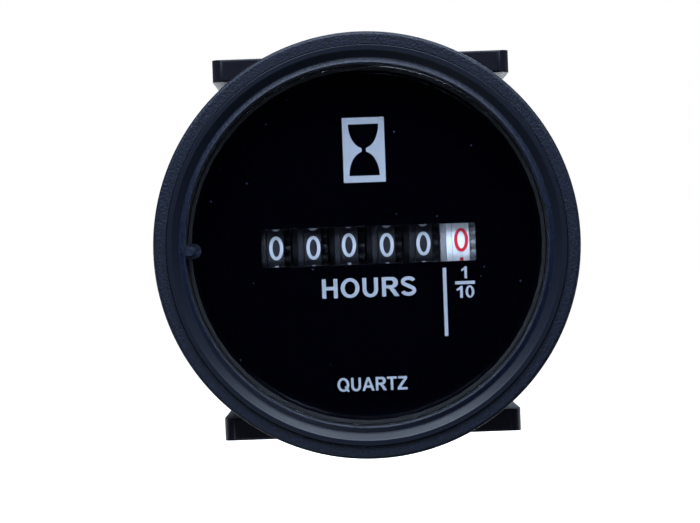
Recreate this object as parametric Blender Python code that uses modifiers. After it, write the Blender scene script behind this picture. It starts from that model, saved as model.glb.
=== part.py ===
"""Round quartz hour meter for a panel, with a six-wheel mechanical counter.

Axes: +X to the right as the dial is read, +Y into the panel, +Z up. The origin is on the
meter's axis, in the plane where the flange seats on the panel. Lengths are in metres.
"""

import math

import bmesh
import bpy

MM = 0.001

# Gaps
FIT = 0.25 * MM  # between pieces that rest on or in each other
RUN = 0.12 * MM  # round a turning arbor in its hole

# Housing and panel
PANEL_HOLE_RADIUS = 26.0 * MM
PANEL_HOLE_PLAY = 0.3 * MM
FLANGE_OVERLAP = 3.75 * MM  # how far the flange covers the panel round the hole
FLANGE_HEIGHT = 3.45 * MM
FLANGE_EDGE = 0.6 * MM  # radius of the flange's outer front edge
FLANGE_LAND = 1.85 * MM  # width of the flat that shows outside the front ring
SPIGOT_DEPTH = 2.4 * MM
SPIGOT_STEP = 0.2 * MM
WALL = 1.1 * MM
FLAT_CUT = 2.1 * MM  # how deep the flats at its top and bottom are cut into the barrel
REAR_ROOM = 0.8 * MM  # behind the deepest gear

# Front ring, lens, seal and dial
RING_WIDTH = 2.35 * MM
RING_CREST = 0.4 * MM  # how far the ring's crest stands in front of the flange
RING_SEAT = 1.95 * MM  # from the panel plane forward to the ring's seat
RING_LIP = 0.2 * MM  # how far the lip round the lens stands in front of it
RING_VALLEY = 0.8 * MM  # from the ring's bore to the bottom of its shallow valley
RING_VALLEY_DEPTH = 0.35 * MM  # from the lip down to the valley
RING_CONE = 0.95 * MM  # width of the cone from the valley up to the crest
RING_CREST_LAND = 0.5 * MM
RING_EDGE = 0.1 * MM
LENS_GAP = 0.3 * MM
LENS_FRONT = 3.1 * MM
LENS_RIM = 1.35 * MM
LENS_RIM_THICKNESS = 0.75 * MM
LENS_CHAMFER = 0.15 * MM
SEAL_THICKNESS = 0.5 * MM
LEDGE_WIDTH = 1.0 * MM
LEDGE_THICKNESS = 0.7 * MM
KEY_RADIUS = 1.2 * MM
KEY_INSET = 0.72 * MM  # from the lens's edge in to the middle of the key's nose
DIAL_THICKNESS = 0.5 * MM
WINDOW_WIDTH = 30.3 * MM
WINDOW_HEIGHT = 5.28 * MM
WINDOW_CORNER = 0.3 * MM
WINDOW_SHIFT = 0.1 * MM

# Number wheels
WHEEL_NAMES = ("ten_thousands", "thousands", "hundreds", "tens", "units", "tenths")
WHEEL_RADIUS = 6.6 * MM
WHEEL_BEHIND_DIAL = 0.5 * MM
STRIP_WIDTH = 0.78 * MM
GROOVE_WIDTH = 0.12 * MM
GROOVE_DEPTH = 0.2 * MM
BAND_WIDTH = 2.36 * MM
TOOTH_RING_WIDTH = 0.94 * MM
WHEEL_GAP = 1.02 * MM
COUNTER_SHIFT = 0.22 * MM  # of the counter's middle to the right of the meter's axis
LOCK_DISC_WIDTH = 0.8 * MM
WHEEL_SHAFT_RADIUS = 1.0 * MM
PINION_SHAFT_RADIUS = 0.5 * MM

# Teeth
COUNTER_MODULE = 0.525 * MM
DRIVE_MODULE = 0.32 * MM
MOTOR_MODULE = 0.235 * MM
WHEEL_TEETH = 20
PINION_TEETH = 8
DRIVE_TEETH = 48
SECOND_TEETH = 60
# widths at tip and root, and heights over and under the pitch circle, in modules
RING_TOOTH = {"tip": 1.1, "root": 1.5, "over": 0.45, "under": 1.25}
GEAR_TOOTH = {"tip": 0.75, "root": 1.5, "over": 1.0, "under": 1.25}
PINION_TOOTH = {"tip": 0.6, "root": 1.1, "over": 0.9, "under": 1.3}
GEAR_THICKNESS = 0.8 * MM
ARBOR_RADIUS = 0.4 * MM

# Directions from one axis to the next, in the plane across the counter
TRANSFER_ANGLE = -40.0
DRIVE_ANGLE = 20.0
SECOND_ANGLE = -47.0
ROTOR_ANGLE = 225.0

# Frame, motor and bridge
PLATE_THICKNESS = 1.0 * MM
PLATE_TOP = 12.0 * MM
PLATE_BOTTOM = -16.4 * MM
PLATE_CORNER = 1.5 * MM
PILLAR_RADIUS = 1.5 * MM
PILLAR_END_RADIUS = 0.8 * MM
MAGNET_RADIUS = 2.6 * MM
MAGNET_LENGTH = 3.0 * MM
STATOR_THICKNESS = 1.2 * MM
STATOR_AIR_GAP = 0.6 * MM
STATOR_WEB = 0.5 * MM
STATOR_LEG = 3.0 * MM
STATOR_NOTCH = 1.8 * MM
STATOR_FRONT_LAND = 2.4 * MM  # in front of the rotor's hole
STATOR_REAR_LAND = 5.9 * MM
STATOR_INSET = 3.1 * MM  # from the right frame plate to the stator's left face
CORE_HEIGHT = 2.4 * MM
BOBBIN_RADIUS = 3.0 * MM
BOBBIN_TUBE_RADIUS = 1.7 * MM
BOBBIN_FLANGE = 0.6 * MM
WINDING_GAP = 0.1 * MM
BRIDGE_THICKNESS = 0.8 * MM
BRIDGE_PILLAR_RADIUS = 1.1 * MM
MOTOR_SCREW_RADIUS = 0.55 * MM
MOTOR_SCREW_HEAD = 0.9 * MM
MOTOR_SCREW_EDGE = 1.2 * MM  # from the stator's lower edge up to the screws
LEAD_RADIUS = 0.16 * MM
LEAD_DROP = 1.6 * MM  # of the second coil lead below the first
LEAD_SIDE = 0.9 * MM
LEAD_POINTS = 9

# Pillars, as steps in y and z from the point that each stands by
TOP_PILLAR = (-3.2 * MM, 3.4 * MM)
BOTTOM_PILLAR = (-3.8 * MM, -7.4 * MM)
REAR_PILLAR = (-2.9 * MM, 1.6 * MM)
BRIDGE_FRONT_PILLAR = (-2.9 * MM, 1.3 * MM)
BRIDGE_REAR_PILLAR = (3.6 * MM, 4.3 * MM)

# Circuit board and its parts, each part at (x, z) on the board
BOARD_THICKNESS = 1.6 * MM
BOARD_HEIGHT = 26.0 * MM
BOARD_BEHIND = 1.7 * MM  # from the board's back to the rear cover
BOARD_CORNER = 2.0 * MM
CHIP_AT = (3.95 * MM, 9.95 * MM)
CHIP_SIZE = (4.9 * MM, 3.9 * MM)
CHIP_THICKNESS = 1.5 * MM
CRYSTAL_AT = (8.3 * MM, 9.5 * MM)
CRYSTAL_RADIUS = 1.5 * MM
CRYSTAL_LENGTH = 6.0 * MM
CAPACITOR_AT = (-8.0 * MM, 9.2 * MM)
CAPACITOR_RADIUS = 3.15 * MM
CAPACITOR_LENGTH = 7.0 * MM
RESISTOR_INSET = 1.01 * MM  # from the left frame plate
RESISTORS_Z = {"resistor_upper": -1.5 * MM, "resistor_lower": -5.5 * MM}
RESISTOR_LENGTH = 5.5 * MM
RESISTOR_RADIUS = 1.1 * MM
DIODES_AT = (-6.0 * MM, -2.0 * MM)  # the first of four, in a column going down
DIODE_PITCH = 2.4 * MM
DIODE_LENGTH = 3.6 * MM
DIODE_RADIUS = 0.9 * MM
DIODE_COUNT = 4

# Rear cover, terminals, studs, bracket
COVER_THICKNESS = 2.0 * MM
COVER_SKIRT = 1.2 * MM
STUD_RADIUS = 2.0 * MM
STUD_X = 14.0 * MM
STUD_HEAD_RADIUS = 3.1 * MM
STUD_HEAD_THICKNESS = 1.1 * MM
STUD_CHAMFER = 0.4 * MM
BLADE_WIDTH = 6.3 * MM
BLADE_THICKNESS = 0.8 * MM
BLADE_X = 5.0 * MM
BLADE_REACH = 8.2 * MM  # how far a blade stands out behind the rear cover
BLADE_TAPER = 0.9 * MM
BLADE_HOLE_RADIUS = 0.9 * MM
BLADE_HOLE_INSET = 3.2 * MM  # from the blade's end to its latch hole
BRACKET_THICKNESS = 3.15 * MM
BRACKET_HALF_WIDTH = 21.0 * MM
BRACKET_GAP = 0.4 * MM
BRACKET_BEHIND = 2.75 * MM  # from the rear cover to the bracket's web
BRACKET_CORNER = 1.7 * MM  # radius of a leg's free corners, seen from above
BRACKET_BEND = 2.0 * MM
BRACKET_OPENING_HEIGHT = 20.0 * MM
BRACKET_OPENING_CORNER = 2.0 * MM
PANEL_THICKNESS = 3.0 * MM
WASHER_THICKNESS = 0.8 * MM
WASHER_RADIUS = 4.5 * MM
NUT_THICKNESS = 3.2 * MM
NUT_ACROSS_FLATS = 7.0 * MM
STUD_PAST_NUT = 1.5 * MM

BIG_SEGMENTS = 48
WHEEL_SEGMENTS = 24
ROD_SEGMENTS = 12

OVERLAP = 0.2 * MM  # of two shapes that a union joins
OVERRUN = 2.0 * MM  # of a cutter past the piece that it cuts

# Worked out: housing
FLANGE_RADIUS = PANEL_HOLE_RADIUS + FLANGE_OVERLAP
SPIGOT_RADIUS = PANEL_HOLE_RADIUS - PANEL_HOLE_PLAY
BARREL_RADIUS = SPIGOT_RADIUS - SPIGOT_STEP
FLAT_HEIGHT = BARREL_RADIUS - FLAT_CUT
CAVITY_RADIUS = BARREL_RADIUS - WALL
CAVITY_FLAT = FLAT_HEIGHT - WALL
RECESS_RADIUS = FLANGE_RADIUS - FLANGE_LAND
RING_OUTER = RECESS_RADIUS - FIT
RING_INNER = RING_OUTER - RING_WIDTH
LENS_RADIUS = RING_INNER - LENS_GAP
LENS_RIM_RADIUS = LENS_RADIUS + LENS_RIM
SIGHT_RADIUS = LENS_RADIUS - LEDGE_WIDTH
DIAL_BORE = SPIGOT_RADIUS - WALL
DIAL_RADIUS = DIAL_BORE - FIT

# Worked out: places along the meter's axis, front to back
RING_BACK_Y = -RING_SEAT - FIT
RING_CREST_Y = -FLANGE_HEIGHT - RING_CREST
LENS_RIM_Y = -RING_SEAT
LENS_BACK_Y = LENS_RIM_Y + LENS_RIM_THICKNESS
SEAL_Y = LENS_BACK_Y + FIT
SEAT_Y = SEAL_Y + SEAL_THICKNESS + FIT
LEDGE_BACK_Y = SEAT_Y + LEDGE_THICKNESS
DIAL_Y = LEDGE_BACK_Y + FIT
DIAL_BACK_Y = DIAL_Y + DIAL_THICKNESS


def centre_distance(module, wheel_teeth):
    """Distance between a wheel's axis and that of the pinion it meshes with."""
    return module * (wheel_teeth + PINION_TEETH) / 2


def step_from(point, distance, degrees):
    """The point at a distance and direction from another, as (y, z)."""
    turn = math.radians(degrees)
    return (point[0] + distance * math.cos(turn), point[1] + distance * math.sin(turn))


# Worked out: axes across the meter, as (y, z)
COUNTER_AXIS = (DIAL_BACK_Y + WHEEL_BEHIND_DIAL + WHEEL_RADIUS, 0.0)
TRANSFER_AXIS = step_from(COUNTER_AXIS, centre_distance(COUNTER_MODULE, WHEEL_TEETH), TRANSFER_ANGLE)
DRIVE_AXIS = step_from(COUNTER_AXIS, centre_distance(COUNTER_MODULE, WHEEL_TEETH), DRIVE_ANGLE)
SECOND_AXIS = step_from(DRIVE_AXIS, centre_distance(DRIVE_MODULE, DRIVE_TEETH), SECOND_ANGLE)
ROTOR_AXIS = step_from(SECOND_AXIS, centre_distance(MOTOR_MODULE, SECOND_TEETH), ROTOR_ANGLE)
SECOND_TIP = MOTOR_MODULE * (SECOND_TEETH / 2 + GEAR_TOOTH["over"])
PINION_TIP = COUNTER_MODULE * (PINION_TEETH / 2 + PINION_TOOTH["over"])

BARREL_END_Y = SECOND_AXIS[0] + SECOND_TIP + REAR_ROOM
COVER_Y = BARREL_END_Y + FIT
COVER_BACK_Y = COVER_Y + COVER_THICKNESS
BOARD_BACK_Y = COVER_Y - BOARD_BEHIND
BOARD_Y = BOARD_BACK_Y - BOARD_THICKNESS
PLATE_FRONT_Y = DIAL_BACK_Y + FIT
PLATE_BACK_Y = BOARD_Y - FIT
WEB_Y = COVER_BACK_Y + BRACKET_BEHIND
WEB_BACK_Y = WEB_Y + BRACKET_THICKNESS
WASHER_Y = WEB_BACK_Y + FIT
NUT_Y = WASHER_Y + WASHER_THICKNESS + FIT
STUD_END_Y = NUT_Y + NUT_THICKNESS + STUD_PAST_NUT

# Worked out: places along the counter, left to right
WHEEL_WIDTH = STRIP_WIDTH + GROOVE_WIDTH + BAND_WIDTH + TOOTH_RING_WIDTH
WHEEL_PITCH = WHEEL_WIDTH + WHEEL_GAP
BAND_LEFT = -BAND_WIDTH / 2
STRIP_LEFT = BAND_LEFT - GROOVE_WIDTH - STRIP_WIDTH
LOCK_LEFT = STRIP_LEFT - LOCK_DISC_WIDTH
TOOTH_RING_RIGHT = -BAND_LEFT + TOOTH_RING_WIDTH
WHEEL_X = [COUNTER_SHIFT + (place - 2.5) * WHEEL_PITCH for place in range(6)]
LEFT_PLATE_X = WHEEL_X[0] + LOCK_LEFT - 2 * FIT - PLATE_THICKNESS
RIGHT_PLATE_X = WHEEL_X[-1] + TOOTH_RING_RIGHT + 2 * FIT
RIGHT_PLATE_OUT = RIGHT_PLATE_X + PLATE_THICKNESS
DRIVE_GEAR_X = RIGHT_PLATE_OUT + 3 * FIT
SECOND_GEAR_X = DRIVE_GEAR_X + GEAR_THICKNESS + 3 * FIT
BRIDGE_X = SECOND_GEAR_X + GEAR_THICKNESS + 2 * FIT
STATOR_X = RIGHT_PLATE_X - STATOR_INSET
CORE_X = STATOR_X - FIT - STATOR_THICKNESS
MAGNET_X = STATOR_X + (STATOR_THICKNESS - MAGNET_LENGTH) / 2
MOTOR_PLATE_X = MAGNET_X - 2 * FIT - BRIDGE_THICKNESS

# Worked out: the stator and coil, as (y, z)
STATOR_HOLE = MAGNET_RADIUS + STATOR_AIR_GAP
STATOR_TOP = ROTOR_AXIS[1] + STATOR_HOLE + STATOR_WEB
STATOR_LOW = ROTOR_AXIS[1] - STATOR_HOLE - STATOR_WEB
STATOR_FRONT = ROTOR_AXIS[0] - STATOR_HOLE - STATOR_FRONT_LAND
STATOR_REAR = ROTOR_AXIS[0] + STATOR_HOLE + STATOR_REAR_LAND
COIL_Z = STATOR_LOW - BOBBIN_RADIUS - FIT
LEG_END = COIL_Z - CORE_HEIGHT / 2
MOTOR_SCREWS = {
    "front": (STATOR_FRONT + STATOR_LEG / 2, STATOR_LOW + MOTOR_SCREW_EDGE),
    "rear": (STATOR_REAR - STATOR_LEG / 2, STATOR_LOW + MOTOR_SCREW_EDGE),
}


def beside(point, step):
    """The point at a step in y and z from another."""
    return (point[0] + step[0], point[1] + step[1])


BRIDGE_PILLARS = {
    "front": beside(ROTOR_AXIS, BRIDGE_FRONT_PILLAR),
    "rear": beside((SECOND_AXIS[0], SECOND_AXIS[1] + SECOND_TIP), BRIDGE_REAR_PILLAR),
}
FRAME_PILLARS = {
    "top": beside((COUNTER_AXIS[0], WHEEL_RADIUS), TOP_PILLAR),
    "bottom": beside((COUNTER_AXIS[0], -WHEEL_RADIUS), BOTTOM_PILLAR),
    "rear": beside((BOARD_Y, DRIVE_AXIS[1]), REAR_PILLAR),
}

PARTS = "panel_hour_meter"
CUTTERS = "cutters"
ACROSS = (math.radians(90), 0, math.radians(90))  # local X, Y, Z to world Y, Z, X
FACING = (math.radians(90), 0, 0)  # local X, Y, Z to world X, Z, -Y
ALONG_X = (0, math.radians(90), 0)  # local Z to world X


def clear_scene():
    for item in list(bpy.data.objects):
        bpy.data.objects.remove(item, do_unlink=True)
    for name in (PARTS, CUTTERS):
        group = bpy.data.collections.new(name)
        bpy.context.scene.collection.children.link(group)


def finish(name, colour, roughness, metallic=0.0):
    """A plain material for one sub-part."""
    made = bpy.data.materials.new(name)
    made.use_nodes = True
    shader = made.node_tree.nodes["Principled BSDF"]
    shader.inputs["Base Color"].default_value = (*colour, 1.0)
    shader.inputs["Roughness"].default_value = roughness
    shader.inputs["Metallic"].default_value = metallic
    return made


BLACK_PLASTIC = ((0.012, 0.014, 0.022), 0.55)
SMOOTH_BLACK = ((0.02, 0.021, 0.028), 0.35)
DIAL_BLACK = ((0.002, 0.002, 0.006), 0.25)
WHEEL_BLACK = ((0.02, 0.02, 0.024), 0.5)
WHEEL_WHITE = ((0.75, 0.78, 0.8), 0.45)
CLEAR = ((0.95, 0.97, 1.0), 0.05)
RUBBER = ((0.01, 0.01, 0.01), 0.85)
NATURAL_PLASTIC = ((0.8, 0.78, 0.7), 0.5)
STEEL = ((0.5, 0.5, 0.52), 0.3, 1.0)
BRASS = ((0.7, 0.5, 0.2), 0.3, 1.0)
TIN = ((0.75, 0.74, 0.72), 0.3, 1.0)
COPPER = ((0.75, 0.33, 0.16), 0.35, 1.0)
GREEN_BOARD = ((0.01, 0.12, 0.05), 0.4)


def add(name, mesh, place, turn, look, group=PARTS):
    """Puts a mesh into the scene as a named object with its own material."""
    made = bpy.data.objects.new(name, mesh)
    bpy.data.collections[group].objects.link(made)
    made.location = place
    made.rotation_euler = turn
    if look:
        mesh.materials.clear()
        mesh.materials.append(finish(name, *look))
    if group == CUTTERS:
        made.hide_render = True
        made.display_type = "WIRE"
    return made


def turned(name, profile, place, turn, look, segments, closed=False, group=PARTS):
    """A profile of (radius, height) points, outer side from the top down, turned about local Z."""
    mesh = bpy.data.meshes.new(name)
    shape = bmesh.new()
    points = [shape.verts.new((radius, 0, height)) for radius, height in profile]
    for first, second in zip(points, points[1:] + points[:1]):
        if closed or second is not points[0]:
            shape.edges.new((first, second))
    shape.to_mesh(mesh)
    shape.free()
    made = add(name, mesh, place, turn, look, group)
    screw = made.modifiers.new("turn", "SCREW")
    screw.steps = segments
    screw.render_steps = segments
    screw.use_merge_vertices = True
    screw.merge_threshold = 0.000001
    screw.use_smooth_shade = True
    return made


def turned_back(name, profile, look, at=(0.0, 0.0), segments=BIG_SEGMENTS, closed=False, group=PARTS):
    """Turned about an axis along Y through (x, z): (radius, y) points, outer side from front to back."""
    heights = [(radius, -y) for radius, y in profile]
    return turned(name, heights, (at[0], 0, at[1]), FACING, look, segments, closed, group)


def turned_across(name, profile, axis, look, x=0.0, segments=ROD_SEGMENTS, closed=False, group=PARTS):
    """Turned about an axis along X through (y, z): (radius, x) points, outer side from right to left."""
    return turned(name, profile, (x, *axis), ALONG_X, look, segments, closed, group)


def rod(name, radius, left, right, axis, look, shoulder=None, group=PARTS):
    """A rod along X. A shoulder (radius, left, right) is a thicker middle."""
    if shoulder:
        thick, start, stop = shoulder
        profile = [(0, right), (radius, right), (radius, stop), (thick, stop)]
        profile += [(thick, start), (radius, start), (radius, left), (0, left)]
    else:
        profile = [(0, right), (radius, right), (radius, left), (0, left)]
    return turned_across(name, profile, axis, look, group=group)


def pin(name, radius, front, back, at, look, group=PARTS, segments=ROD_SEGMENTS):
    """A round pin along Y, through (x, z)."""
    profile = [(0, front), (radius, front), (radius, back), (0, back)]
    return turned_back(name, profile, look, at, segments, group=group)


def plate(name, outlines, thickness, place, turn, look, group=PARTS):
    """Flat outlines, the first the edge and the rest its holes, extruded from local Z = 0."""
    curve = bpy.data.curves.new(name, "CURVE")
    curve.dimensions = "2D"
    curve.fill_mode = "BOTH"
    curve.extrude = thickness / 2
    for outline in outlines:
        spline = curve.splines.new("POLY")
        spline.points.add(len(outline) - 1)
        for point, (u, v) in zip(spline.points, outline):
            point.co = (u, v, 0, 1)
        spline.use_cyclic_u = True
    drawn = bpy.data.objects.new(name + "_outline", curve)
    bpy.data.collections[CUTTERS].objects.link(drawn)
    bpy.context.view_layer.update()
    seen = drawn.evaluated_get(bpy.context.evaluated_depsgraph_get())
    mesh = bpy.data.meshes.new_from_object(seen)
    bpy.data.objects.remove(drawn, do_unlink=True)
    shape = bmesh.new()
    shape.from_mesh(mesh)
    bmesh.ops.remove_doubles(shape, verts=shape.verts, dist=0.000001)
    bmesh.ops.translate(shape, verts=shape.verts, vec=(0, 0, thickness / 2))
    bmesh.ops.recalc_face_normals(shape, faces=shape.faces)
    shape.to_mesh(mesh)
    shape.free()
    return add(name, mesh, place, turn, look, group)


def plate_across(name, outlines, left, thickness, look, axis=(0.0, 0.0), group=PARTS):
    """A plate in the YZ plane from x = left, with outlines of (y, z) about an axis."""
    return plate(name, outlines, thickness, (left, *axis), ACROSS, look, group)


def plate_facing(name, outlines, front, thickness, look, group=PARTS):
    """A plate in the XZ plane from y = front to the back, with outlines of (x, z)."""
    return plate(name, outlines, thickness, (0, front + thickness, 0), FACING, look, group)


def block(name, low, high, look, group=PARTS):
    """A box between two corners."""
    shape = bmesh.new()
    bmesh.ops.create_cube(shape, size=1.0)
    size = [top - bottom for bottom, top in zip(low, high)]
    middle = [(top + bottom) / 2 for bottom, top in zip(low, high)]
    bmesh.ops.scale(shape, verts=shape.verts, vec=size)
    mesh = bpy.data.meshes.new(name)
    shape.to_mesh(mesh)
    shape.free()
    return add(name, mesh, middle, (0, 0, 0), look, group)


def combine(made, other, operation):
    boolean = made.modifiers.new(other.name, "BOOLEAN")
    boolean.operation = operation
    boolean.object = other
    boolean.solver = "EXACT"


def ring_points(radius, count, start=0.0, centre=(0.0, 0.0)):
    turns = [start + 2 * math.pi * step / count for step in range(count)]
    return [(centre[0] + radius * math.cos(a), centre[1] + radius * math.sin(a)) for a in turns]


def hole(radius, centre, count=ROD_SEGMENTS):
    return ring_points(radius, count, centre=centre)


def rounded_box(width, height, corner, centre=(0.0, 0.0), steps=4):
    """A rectangle with round corners."""
    points = []
    for quarter, (side_x, side_z) in enumerate(((1, 1), (-1, 1), (-1, -1), (1, -1))):
        middle_x = centre[0] + side_x * (width / 2 - corner)
        middle_z = centre[1] + side_z * (height / 2 - corner)
        for step in range(steps + 1):
            turn = math.radians(90 * (quarter + step / steps))
            points.append((middle_x + corner * math.cos(turn), middle_z + corner * math.sin(turn)))
    return points


def flatted_circle(radius, flat, steps=20):
    """A circle with a flat across its top and another across its bottom."""
    reach = math.asin(flat / radius)
    right = [-reach + 2 * reach * step / steps for step in range(steps + 1)]
    turns = right + [math.pi + turn for turn in right]
    return [(radius * math.cos(turn), radius * math.sin(turn)) for turn in turns]


def gear_outline(teeth, module, tooth, start=0.0, skip=1):
    """The outline of a spur gear. With skip 2 every second tooth is left out."""
    pitch_radius = module * teeth / 2
    root_radius = pitch_radius - tooth["under"] * module
    tip_radius = pitch_radius + tooth["over"] * module
    flank = [(root_radius, tooth["root"]), (tip_radius, tooth["tip"])]
    points = []
    for number in range(0, teeth, skip):
        middle = start + 2 * math.pi * number / teeth
        for side, corners in ((-1, flank), (1, flank[::-1])):
            for radius, width in corners:
                turn = middle + side * math.asin(width * module / 2 / radius)
                points.append((radius * math.cos(turn), radius * math.sin(turn)))
    return points


def make_housing():
    edge = [
        (
            FLANGE_RADIUS - FLANGE_EDGE + FLANGE_EDGE * math.sin(math.radians(turn)),
            -FLANGE_HEIGHT + FLANGE_EDGE - FLANGE_EDGE * math.cos(math.radians(turn)),
        )
        for turn in (0, 30, 60, 90)
    ]
    profile = [(0, -FLANGE_HEIGHT), *edge, (FLANGE_RADIUS, 0), (SPIGOT_RADIUS, 0)]
    profile += [(SPIGOT_RADIUS, SPIGOT_DEPTH), (BARREL_RADIUS, SPIGOT_DEPTH)]
    profile += [(BARREL_RADIUS, BARREL_END_Y), (0, BARREL_END_Y)]
    housing = turned_back("housing", profile, BLACK_PLASTIC)
    for side in (-1, 1):
        low, high = sorted((side * FLAT_HEIGHT, side * (BARREL_RADIUS + OVERRUN)))
        corner = (-BARREL_RADIUS, SPIGOT_DEPTH, low)
        far = (BARREL_RADIUS, BARREL_END_Y + OVERRUN, high)
        combine(housing, block("flat_cutter", corner, far, None, CUTTERS), "DIFFERENCE")
    recess = [(0, -FLANGE_HEIGHT - OVERRUN), (RECESS_RADIUS, -FLANGE_HEIGHT - OVERRUN)]
    recess += [(RECESS_RADIUS, -RING_SEAT), (LENS_RIM_RADIUS + FIT, -RING_SEAT)]
    recess += [(LENS_RIM_RADIUS + FIT, SEAT_Y), (SIGHT_RADIUS, SEAT_Y)]
    recess += [(SIGHT_RADIUS, LEDGE_BACK_Y), (DIAL_BORE, LEDGE_BACK_Y)]
    recess += [(DIAL_BORE, DIAL_BACK_Y), (0, DIAL_BACK_Y)]
    combine(housing, turned_back("front_cutter", recess, None, group=CUTTERS), "DIFFERENCE")
    cavity = flatted_circle(CAVITY_RADIUS, CAVITY_FLAT)
    start = DIAL_BACK_Y - DIAL_THICKNESS / 2
    length = BARREL_END_Y + OVERRUN - start
    hollow = plate_facing("rear_cutter", [cavity], start, length, None, CUTTERS)
    combine(housing, hollow, "DIFFERENCE")


def key_outline(radius, reach):
    """The locating key at nine o'clock: a round nose with straight sides out to the ring."""
    nose = [math.radians(90 - turn) for turn in range(0, 181, 30)]
    centre = LENS_RADIUS - KEY_INSET
    round_end = [(-centre + radius * math.cos(turn), radius * math.sin(turn)) for turn in nose]
    return [(-reach, radius), *round_end, (-reach, -radius)]


def make_front_ring():
    lip_y = -LENS_FRONT - RING_LIP
    valley = RING_INNER + RING_VALLEY
    cone_top = valley + RING_CONE
    profile = [(RING_OUTER - RING_EDGE, RING_CREST_Y), (RING_OUTER, RING_CREST_Y + RING_EDGE)]
    profile += [(RING_OUTER, RING_BACK_Y), (RING_INNER, RING_BACK_Y), (RING_INNER, lip_y)]
    profile += [(RING_INNER + RING_EDGE, lip_y - RING_EDGE / 2), (valley, lip_y + RING_VALLEY_DEPTH)]
    profile += [(cone_top, RING_CREST_Y + RING_EDGE), (RING_OUTER - RING_CREST_LAND, RING_CREST_Y)]
    ring = turned_back("front_ring", profile, SMOOTH_BLACK, closed=True)
    reach = RING_INNER + RING_WIDTH / 4
    outline = key_outline(KEY_RADIUS, reach)
    length = LENS_FRONT + LENS_BACK_Y
    key = plate_facing("key", [outline], -LENS_FRONT, length - FIT, None, CUTTERS)
    combine(ring, key, "UNION")


def make_lens():
    profile = [(0, -LENS_FRONT), (LENS_RADIUS - LENS_CHAMFER, -LENS_FRONT)]
    profile += [(LENS_RADIUS, -LENS_FRONT + LENS_CHAMFER), (LENS_RADIUS, LENS_RIM_Y)]
    profile += [(LENS_RIM_RADIUS, LENS_RIM_Y), (LENS_RIM_RADIUS, LENS_BACK_Y), (0, LENS_BACK_Y)]
    lens = turned_back("lens", profile, CLEAR)
    notch = key_outline(KEY_RADIUS + FIT, LENS_RIM_RADIUS + OVERRUN)
    depth = LENS_FRONT + LENS_BACK_Y + 2 * OVERRUN
    cutter = plate_facing("key_notch", [notch], -LENS_FRONT - OVERRUN, depth, None, CUTTERS)
    combine(lens, cutter, "DIFFERENCE")
    inner = LENS_RADIUS - LEDGE_WIDTH / 2
    seal = [(LENS_RIM_RADIUS, SEAL_Y), (LENS_RIM_RADIUS, SEAL_Y + SEAL_THICKNESS)]
    seal += [(inner, SEAL_Y + SEAL_THICKNESS), (inner, SEAL_Y)]
    turned_back("lens_seal", seal, RUBBER, closed=True)


def make_dial():
    window = rounded_box(WINDOW_WIDTH, WINDOW_HEIGHT, WINDOW_CORNER, (WINDOW_SHIFT, 0), steps=2)
    outline = ring_points(DIAL_RADIUS, BIG_SEGMENTS)
    plate_facing("dial", [outline, window], DIAL_Y, DIAL_THICKNESS, DIAL_BLACK)


def make_frame():
    shafts = [hole(WHEEL_SHAFT_RADIUS + FIT, COUNTER_AXIS), hole(PINION_SHAFT_RADIUS + FIT, TRANSFER_AXIS)]
    shafts += [hole(PILLAR_END_RADIUS + FIT, centre) for centre in FRAME_PILLARS.values()]
    middle = ((PLATE_FRONT_Y + PLATE_BACK_Y) / 2, (PLATE_TOP + PLATE_BOTTOM) / 2)
    size = (PLATE_BACK_Y - PLATE_FRONT_Y, PLATE_TOP - PLATE_BOTTOM)
    edge = rounded_box(*size, PLATE_CORNER, middle)
    plate_across("frame_plate_left", [edge, *shafts], LEFT_PLATE_X, PLATE_THICKNESS, STEEL)
    arbors = [hole(ARBOR_RADIUS + RUN, axis) for axis in (DRIVE_AXIS, SECOND_AXIS)]
    arbors.append(hole(3 * ARBOR_RADIUS, ROTOR_AXIS))
    screws = [hole(MOTOR_SCREW_RADIUS + FIT, centre) for centre in MOTOR_SCREWS.values()]
    pillars = [hole(PILLAR_END_RADIUS + FIT, BRIDGE_PILLARS["front"])]
    holes = [*shafts, *arbors, *screws, *pillars]
    holes.append(hole(PILLAR_END_RADIUS + FIT, BRIDGE_PILLARS["rear"]))
    plate_across("frame_plate_right", [edge, *holes], RIGHT_PLATE_X, PLATE_THICKNESS, STEEL)
    ends = (LEFT_PLATE_X - FIT, RIGHT_PLATE_OUT + FIT)
    middle_part = (PILLAR_RADIUS, LEFT_PLATE_X + PLATE_THICKNESS + FIT, RIGHT_PLATE_X - FIT)
    for place, centre in FRAME_PILLARS.items():
        rod(f"frame_pillar_{place}", PILLAR_END_RADIUS, *ends, centre, BRASS, middle_part)
    rod("wheel_shaft", WHEEL_SHAFT_RADIUS, *ends, COUNTER_AXIS, STEEL)
    rod("pinion_shaft", PINION_SHAFT_RADIUS, *ends, TRANSFER_AXIS, STEEL)


def meshing_start(direction, wheel_start, wheel_teeth):
    """Turn of a pinion's first tooth, so that it meshes with a wheel that starts at wheel_start."""
    pitch = 2 * math.pi / wheel_teeth
    off = (direction - wheel_start) % pitch
    return direction + math.pi + math.pi / PINION_TEETH + off * wheel_teeth / PINION_TEETH


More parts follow.
